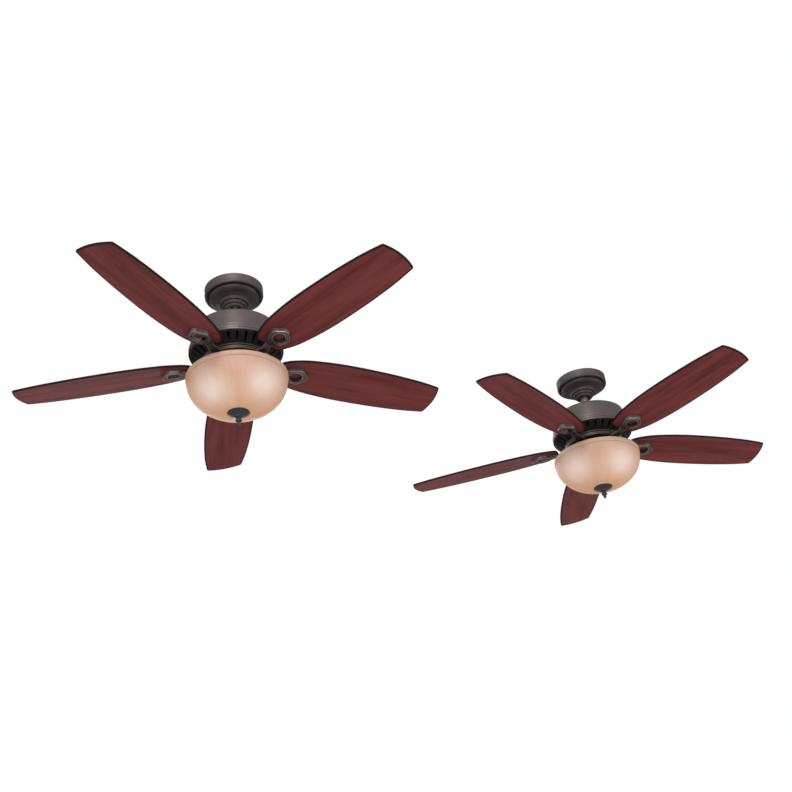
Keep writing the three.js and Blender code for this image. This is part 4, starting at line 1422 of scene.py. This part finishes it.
class FANS_OT_irons(bpy.types.Operator):
    """Cast blade irons with a looped end, and the screws that hold each blade"""

    bl_idname = "fans.irons"
    bl_label = "Blade irons"

    def execute(self, context):
        iron = smooth(combined(loop_mesh(), arm_mesh(), "UNION", "blade_iron"))
        # Faces inside the eye take the second, near-black paint: painted shade on the eye's inner wall.
        for face in iron.polygons:
            across = Vector((face.center.x / MM - EYE_CENTRE, face.center.y / MM))
            edge = eye_point(math.atan2(across.y, across.x)) - Vector((EYE_CENTRE, 0))
            face.material_index = 1 if across.length < edge.length + 0.6 else 0
        for side in SIDES:
            for i in BLADES:
                node = f"blade_iron_{i}"
                look = placed(side, node, iron, blade_turn(side, i))
                finish = [FINISHES["casting"], FINISHES["vents"]]
                dress(look, finish, f"{side}_rotor", "dark_iron", f"{side}_{node}")
        self.add_screws()
        return {"FINISHED"}

    def add_screws(self):
        """Three screws through each blade from above into its iron, as one piece for each fan."""
        up = BLADE_THICKNESS / 2 * MM
        heads = bmesh.new()
        head = screw_head(settings().screw_radius)
        for x, y in IRON_SCREWS:
            heads.from_mesh(moved(head, Matrix.Translation((x * MM, y * MM, up))))
        three = under_blade(mesh_from(heads, "iron_screws"))
        screws = round_copies(three, len(BLADES), "blade_screws", FINISHES["screw"])
        dress_both("blade_screws", screws, FINISHES["screw"], "rotor", "dark_iron", turn=rotor_turn)


# ---- Light ---------------------------------------------------------------------------------------


BOWL_BAND = 0.014  # height of the bowl's upright rim, in metres
LAMP_MARKS = ("towards_lamp_1", "towards_lamp_2")  # attributes of the bowl, in metres
HOLDER_BACK = 15.3  # from the fan's axis to the back of a lamp holder
LAMP_REACH = 79  # from the fan's axis to the widest part of a lamp
BOWL_WALL = 4.0
STEM_HOLE = 5.2  # radius of the hole in bowl and cap


def pan_mesh():
    top, bottom = depth_top("fitter_pan"), depth_bottom("fitter_pan")
    radius = reach("fitter_pan")
    outline = [(5, top), (92, top), (97, top + 0.8), (120, top + 4.5), (134, top + 6.6)]
    outline += [(radius - 1, bottom - 2.2), (radius, bottom - 0.8), (radius - 0.4, bottom)]
    wall = settings().sheet_wall / MM
    return mesh_from(turned(softened(walled(outline, -wall), 0.7), 144), "fitter_pan")


def holder_mesh():
    """A lamp holder about the z axis, its mouth towards +Z, its back at z = 0."""
    loop = [(0, 0), (13, 0), (15.5, -1.5), (15.5, -9), (17, -10), (17, -12.5), (16, -13.5), (16, -33.5)]
    loop += [(17, -34.5), (17, -37), (13.1, -37), (13.1, -9.2), (0, -9.2)]
    return mesh_from(turned(softened(loop, 0.6), 56), "holder")


def bulb_mesh():
    """A lamp about the z axis, its cap towards z = 0, at the distance it keeps from the holder's back."""
    back, neck, radius, end = 9.5, 41.0, 24.0, 97.0
    centre = end - radius
    loop = [(0, -back), (9, -back), (12.4, -back - 3), (12.4, -neck + 4), (12.7, -neck)]
    for i in range(13):
        angle = 0.78 * math.pi * (1 - i / 12)
        loop.append((radius * math.sin(angle), -(centre + radius * math.cos(angle))))
    loop[-1] = (0, -end)
    return mesh_from(turned(loop, 56), "bulb")


class FANS_OT_lights(bpy.types.Operator):
    """Fitter pans, stems, lamp holders and lamps inside the bowls"""

    bl_idname = "fans.lights"
    bl_label = "Light fittings"

    def execute(self, context):
        dress_both("fitter_pan", pan_mesh(), FINISHES["cap"], "hung", "dark_iron", "fitter_pan")
        for side in SIDES:
            node = f"{side}_centre_stem"
            dress(refined(node, f"{node}_look", 0.5 * MM), FINISHES["zinc"], f"{side}_hung", "steel", node)
            low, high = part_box(f"{side}_lamp_holder_1")
            lay = Matrix.Translation((HOLDER_BACK * MM, 0, (low.z + high.z) / 2)) @ OUTWARD
            for i in (1, 2):
                turn = lamp_turn(side) + (i - 1) * math.pi
                holder = placed(side, f"lamp_holder_{i}", moved(holder_mesh(), lay), turn)
                dress(holder, FINISHES["holder"], f"{side}_hung", "holder_plastic", f"{side}_lamp_holder_{i}")
                bulb = placed(side, f"bulb_{i}", moved(bulb_mesh(), lay), turn)
                dress(bulb, FINISHES["opal"], f"{side}_hung", "opal_glass", f"{side}_bulb_{i}")
        return {"FINISHED"}


def bowl_mesh():
    top, bottom = depth_top("glass_bowl"), depth_bottom("glass_bowl")
    radius = reach("glass_bowl")
    foot = top + BOWL_BAND / MM
    steps = 36
    outline = [(radius - 1.8, top), (radius - 0.3, top + 1.8), (radius, top + 5)]
    outline += [(radius - 0.2, foot - 4.4), (radius - 1.6, foot - 2.2), (radius - 2.9, foot - 0.6)]
    for i in range(1, steps + 1):
        angle = math.pi / 2 * i / steps
        r = max(STEM_HOLE, (radius - 2) * math.cos(angle))
        outline.append((r, foot + (bottom - foot) * math.sin(angle) ** 0.97))
    return mesh_from(turned(softened(walled(outline, -BOWL_WALL), 0.8), 160), "glass_bowl")


def lamp_places(side):
    """Where the widest part of each lamp sits inside the bowl."""
    low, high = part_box(f"{side}_lamp_holder_1")
    turn = Matrix.Rotation(lamp_turn(side), 4, "Z")
    centre = Vector((axis_x(side), 0, (low.z + high.z) / 2))
    return [centre + turn @ Vector((offset * MM, 0, 0)) for offset in (-LAMP_REACH, LAMP_REACH)]


class FANS_OT_bowls(bpy.types.Operator):
    """Frosted amber glass bowls, lighter in front of their lamps"""

    bl_idname = "fans.bowls"
    bl_label = "Glass bowls"

    def execute(self, context):
        mesh = bowl_mesh()
        for side in SIDES:
            bowl = placed(side, "glass_bowl", mesh)
            centre = axis_x(side)
            rim = -depth_top("glass_bowl") * MM
            for name, lamp in zip(LAMP_MARKS, lamp_places(side)):
                towards = bowl.data.attributes.new(name, "FLOAT_VECTOR", "POINT")
                for i, vertex in enumerate(bowl.data.vertices):
                    towards.data[i].vector = lamp - vertex.co
            marks = bowl.data.attributes.new("bowl_place", "FLOAT_VECTOR", "POINT")
            for i, vertex in enumerate(bowl.data.vertices):
                around = Vector((vertex.co.x - centre, vertex.co.y, 0)).normalized()
                marks.data[i].vector = (around.x, around.y, vertex.co.z - rim)
            dress(bowl, FINISHES["amber"], f"{side}_bowl", "amber_glass", f"{side}_glass_bowl")
        return {"FINISHED"}


def cap_mesh():
    top, bottom = depth_top("finial_cap"), depth_bottom("finial_cap")
    radius = reach("finial_cap")
    loop = [(STEM_HOLE, top + 1), (radius * 0.6, top + 1), (radius - 1.4, top), (radius, top + 1.6)]
    loop += [(radius, top + 3), (radius - 1.5, top + 4), (radius - 4, top + 5), (radius - 7, top + 8)]
    loop += [(radius - 13, top + 10), (radius - 14, top + 11.2), (radius - 18, bottom), (STEM_HOLE, bottom)]
    return mesh_from(turned(softened(loop, 0.8), 96), "finial_cap")


def finial_mesh():
    top, bottom = depth_top("finial_nut"), depth_bottom("finial_nut")
    foot = reach("finial_nut")
    outline = [(foot, top), (foot, top + 1.4), (foot - 1.0, top + 2.6), (foot - 4.2, top + 4.0)]
    outline += [(7.2, top + 6.2), (7.0, top + 7.6), (7.9, top + 8.4)]
    for i in range(9):
        angle = math.pi * (0.2 + 0.62 * i / 8)
        outline.append((9.8 * math.sin(angle), top + 13.6 - 5.4 * math.cos(angle)))
    outline += [(5.0, top + 19.4), (4.8, top + 20.4), (5.8, top + 21.6), (5.9, top + 23.0)]
    outline += [(4.6, bottom - 3.2), (2.4, bottom - 0.8), (0, bottom)]
    loop = [(4.6, top), *outline, (0, top + 10.3), (4.6, top + 10.3)]
    return mesh_from(turned(softened(loop, 0.5), 64), "finial")


class FANS_OT_finials(bpy.types.Operator):
    """Dished caps under the bowls and the finials that hold them"""

    bl_idname = "fans.finials"
    bl_label = "Finials"

    def execute(self, context):
        dress_both("finial_cap", cap_mesh(), FINISHES["cap"], "bowl", "dark_iron", "finial_cap")
        dress_both("finial_nut", finial_mesh(), FINISHES["cap"], "finial", "dark_iron", "finial_nut")
        return {"FINISHED"}


# ---- Stage ---------------------------------------------------------------------------------------

# Places, sizes and depths of the stage are in metres, turns in degrees and powers in watts.
CAMERA_PLACE = (-1.966, -2.591, -2.098)
CAMERA_AZIMUTH = -35.287  # anticlockwise from +Y
CAMERA_ELEVATION = 30.251
CAMERA_ROLL = -6.705
CAMERA_FOCAL_PIXELS = 1173.0
FLOOR_DEPTH = 2.45
FLOOR_HALF = 45  # half its width
FLOOR_GLOW = 0.22  # what the camera sees the floor give off
AMBIENT = 0.62  # strength of the surroundings as a light
SOFT_LIGHTS = (  # name, place, target, width, power
    ("front_light", (-3.0, -3.6, -0.5), (0, 0, -0.25), 1.8, 76),
    ("high_light", (-2.2, -2.7, 2.5), (0, 0, -0.2), 1.4, 62),
    ("right_light", (3.4, -2.6, -0.9), (0.3, 0, -0.25), 2.4, 32),
    ("back_light", (0.6, 3.6, 0.9), (0, 0, -0.2), 2.6, 45),
)


def make_camera():
    data = bpy.data.cameras.new("camera")
    data.sensor_width = SENSOR_MM
    data.lens = CAMERA_FOCAL_PIXELS / IMAGE_PIXELS * SENSOR_MM
    camera = linked("camera", data)
    camera.matrix_world = (
        Matrix.Translation(CAMERA_PLACE)
        @ Matrix.Rotation(math.radians(CAMERA_AZIMUTH), 4, "Z")
        @ Matrix.Rotation(math.radians(90 + CAMERA_ELEVATION), 4, "X")
        @ Matrix.Rotation(math.radians(CAMERA_ROLL), 4, "Z")
    )
    bpy.context.scene.camera = camera


def soft_light(name, place, target, size, power):
    data = bpy.data.lights.new(name, "AREA")
    data.shape = "DISK"
    data.size = size
    data.energy = power
    lamp = linked(name, data)
    lamp.location = place
    aim = Vector(target) - Vector(place)
    lamp.rotation_euler = aim.to_track_quat("-Z", "Y").to_euler()


def seen_white(nodes, links, dim, bright):
    """A strength that is bright for the camera, reflections and glass, and dim for the rest."""
    ray = nodes.new("ShaderNodeLightPath").outputs
    sight = math_node(nodes, links, "MAXIMUM", ray["Is Camera Ray"], ray["Is Glossy Ray"])
    sight = math_node(nodes, links, "MAXIMUM", sight, ray["Is Transmission Ray"])
    return ranged(nodes, links, sight, 0.0, 1.0, dim, bright)


class FANS_OT_stage(bpy.types.Operator):
    """Pale floor, white surroundings and soft lamps"""

    bl_idname = "fans.stage"
    bl_label = "Stage"

    def execute(self, context):
        world = bpy.data.worlds.new("studio")
        context.scene.world = world
        world.use_nodes = True
        nodes, links = world.node_tree.nodes, world.node_tree.links
        background = nodes["Background"]
        background.inputs["Color"].default_value = (1, 1, 1, 1)
        links.new(seen_white(nodes, links, AMBIENT, 1.0), background.inputs["Strength"])
        self.add_floor()
        for light in SOFT_LIGHTS:
            soft_light(*light)
        context.scene.view_settings.view_transform = "Standard"
        return {"FINISHED"}

    def add_floor(self):
        bm = bmesh.new()
        bmesh.ops.create_grid(bm, x_segments=2, y_segments=2, size=FLOOR_HALF)
        floor = linked("floor", mesh_from(bm, "floor"))
        floor.data.transform(Matrix.Translation((0, 0, -FLOOR_DEPTH)))
        material, nodes, links, shader = new_material("pale_floor")
        cloud = noise(nodes, links, object_place(nodes), 1.3, 2.0)
        tone = blended(nodes, links, cloud, (0.93, 0.93, 0.93), (0.90, 0.90, 0.90))
        links.new(tone, shader.inputs["Base Color"])
        shader.inputs["Roughness"].default_value = 0.9
        shader.inputs["Emission Color"].default_value = (1, 1, 1, 1)
        path = nodes.new("ShaderNodeLightPath")
        paler = ranged(nodes, links, path.outputs["Is Camera Ray"], 0.0, 1.0, 0.0, FLOOR_GLOW)
        links.new(paler, shader.inputs["Emission Strength"])
        self.clear_from_below(nodes, links, shader)
        floor.data.materials.append(material)

    def clear_from_below(self, nodes, links, shader):
        """A camera under the floor sees through it."""
        seen = nodes.new("ShaderNodeNewGeometry")
        clear = nodes.new("ShaderNodeBsdfTransparent")
        either = nodes.new("ShaderNodeMixShader")
        links.new(seen.outputs["Backfacing"], either.inputs[0])
        links.new(shader.outputs["BSDF"], either.inputs[1])
        links.new(clear.outputs["BSDF"], either.inputs[2])
        links.new(either.outputs["Shader"], nodes["Material Output"].inputs["Surface"])


# ---- Panel and registration ----------------------------------------------------------------------

BUILDERS = (
    FANS_OT_stage,
    FANS_OT_canopies,
    FANS_OT_hangers,
    FANS_OT_motors,
    FANS_OT_housings,
    FANS_OT_switch_housings,
    FANS_OT_blades,
    FANS_OT_irons,
    FANS_OT_lights,
    FANS_OT_bowls,
    FANS_OT_finials,
)


class FANS_PT_panel(bpy.types.Panel):
    """Settings and builders of the ceiling fans"""

    bl_idname = "FANS_PT_panel"
    bl_label = "Ceiling fans"
    bl_space_type = "VIEW_3D"
    bl_region_type = "UI"
    bl_category = "Ceiling fans"

    def draw(self, context):
        for name in FanSettings.__annotations__:
            self.layout.prop(context.scene.fan_settings, name)
        for builder in BUILDERS:
            self.layout.operator(builder.bl_idname)


CLASSES = (FanSettings, *BUILDERS, FANS_PT_panel)


def register():
    for cls in CLASSES:
        bpy.utils.register_class(cls)
    bpy.types.Scene.fan_settings = bpy.props.PointerProperty(type=FanSettings)


def unregister():
    del bpy.types.Scene.fan_settings
    for cls in reversed(CLASSES):
        bpy.utils.unregister_class(cls)


def main():
    register()
    make_camera()
    make_finishes()
    for builder in BUILDERS:
        group, call = builder.bl_idname.split(".")
        getattr(getattr(bpy.ops, group), call)()


if __name__ == "__main__":
    main()
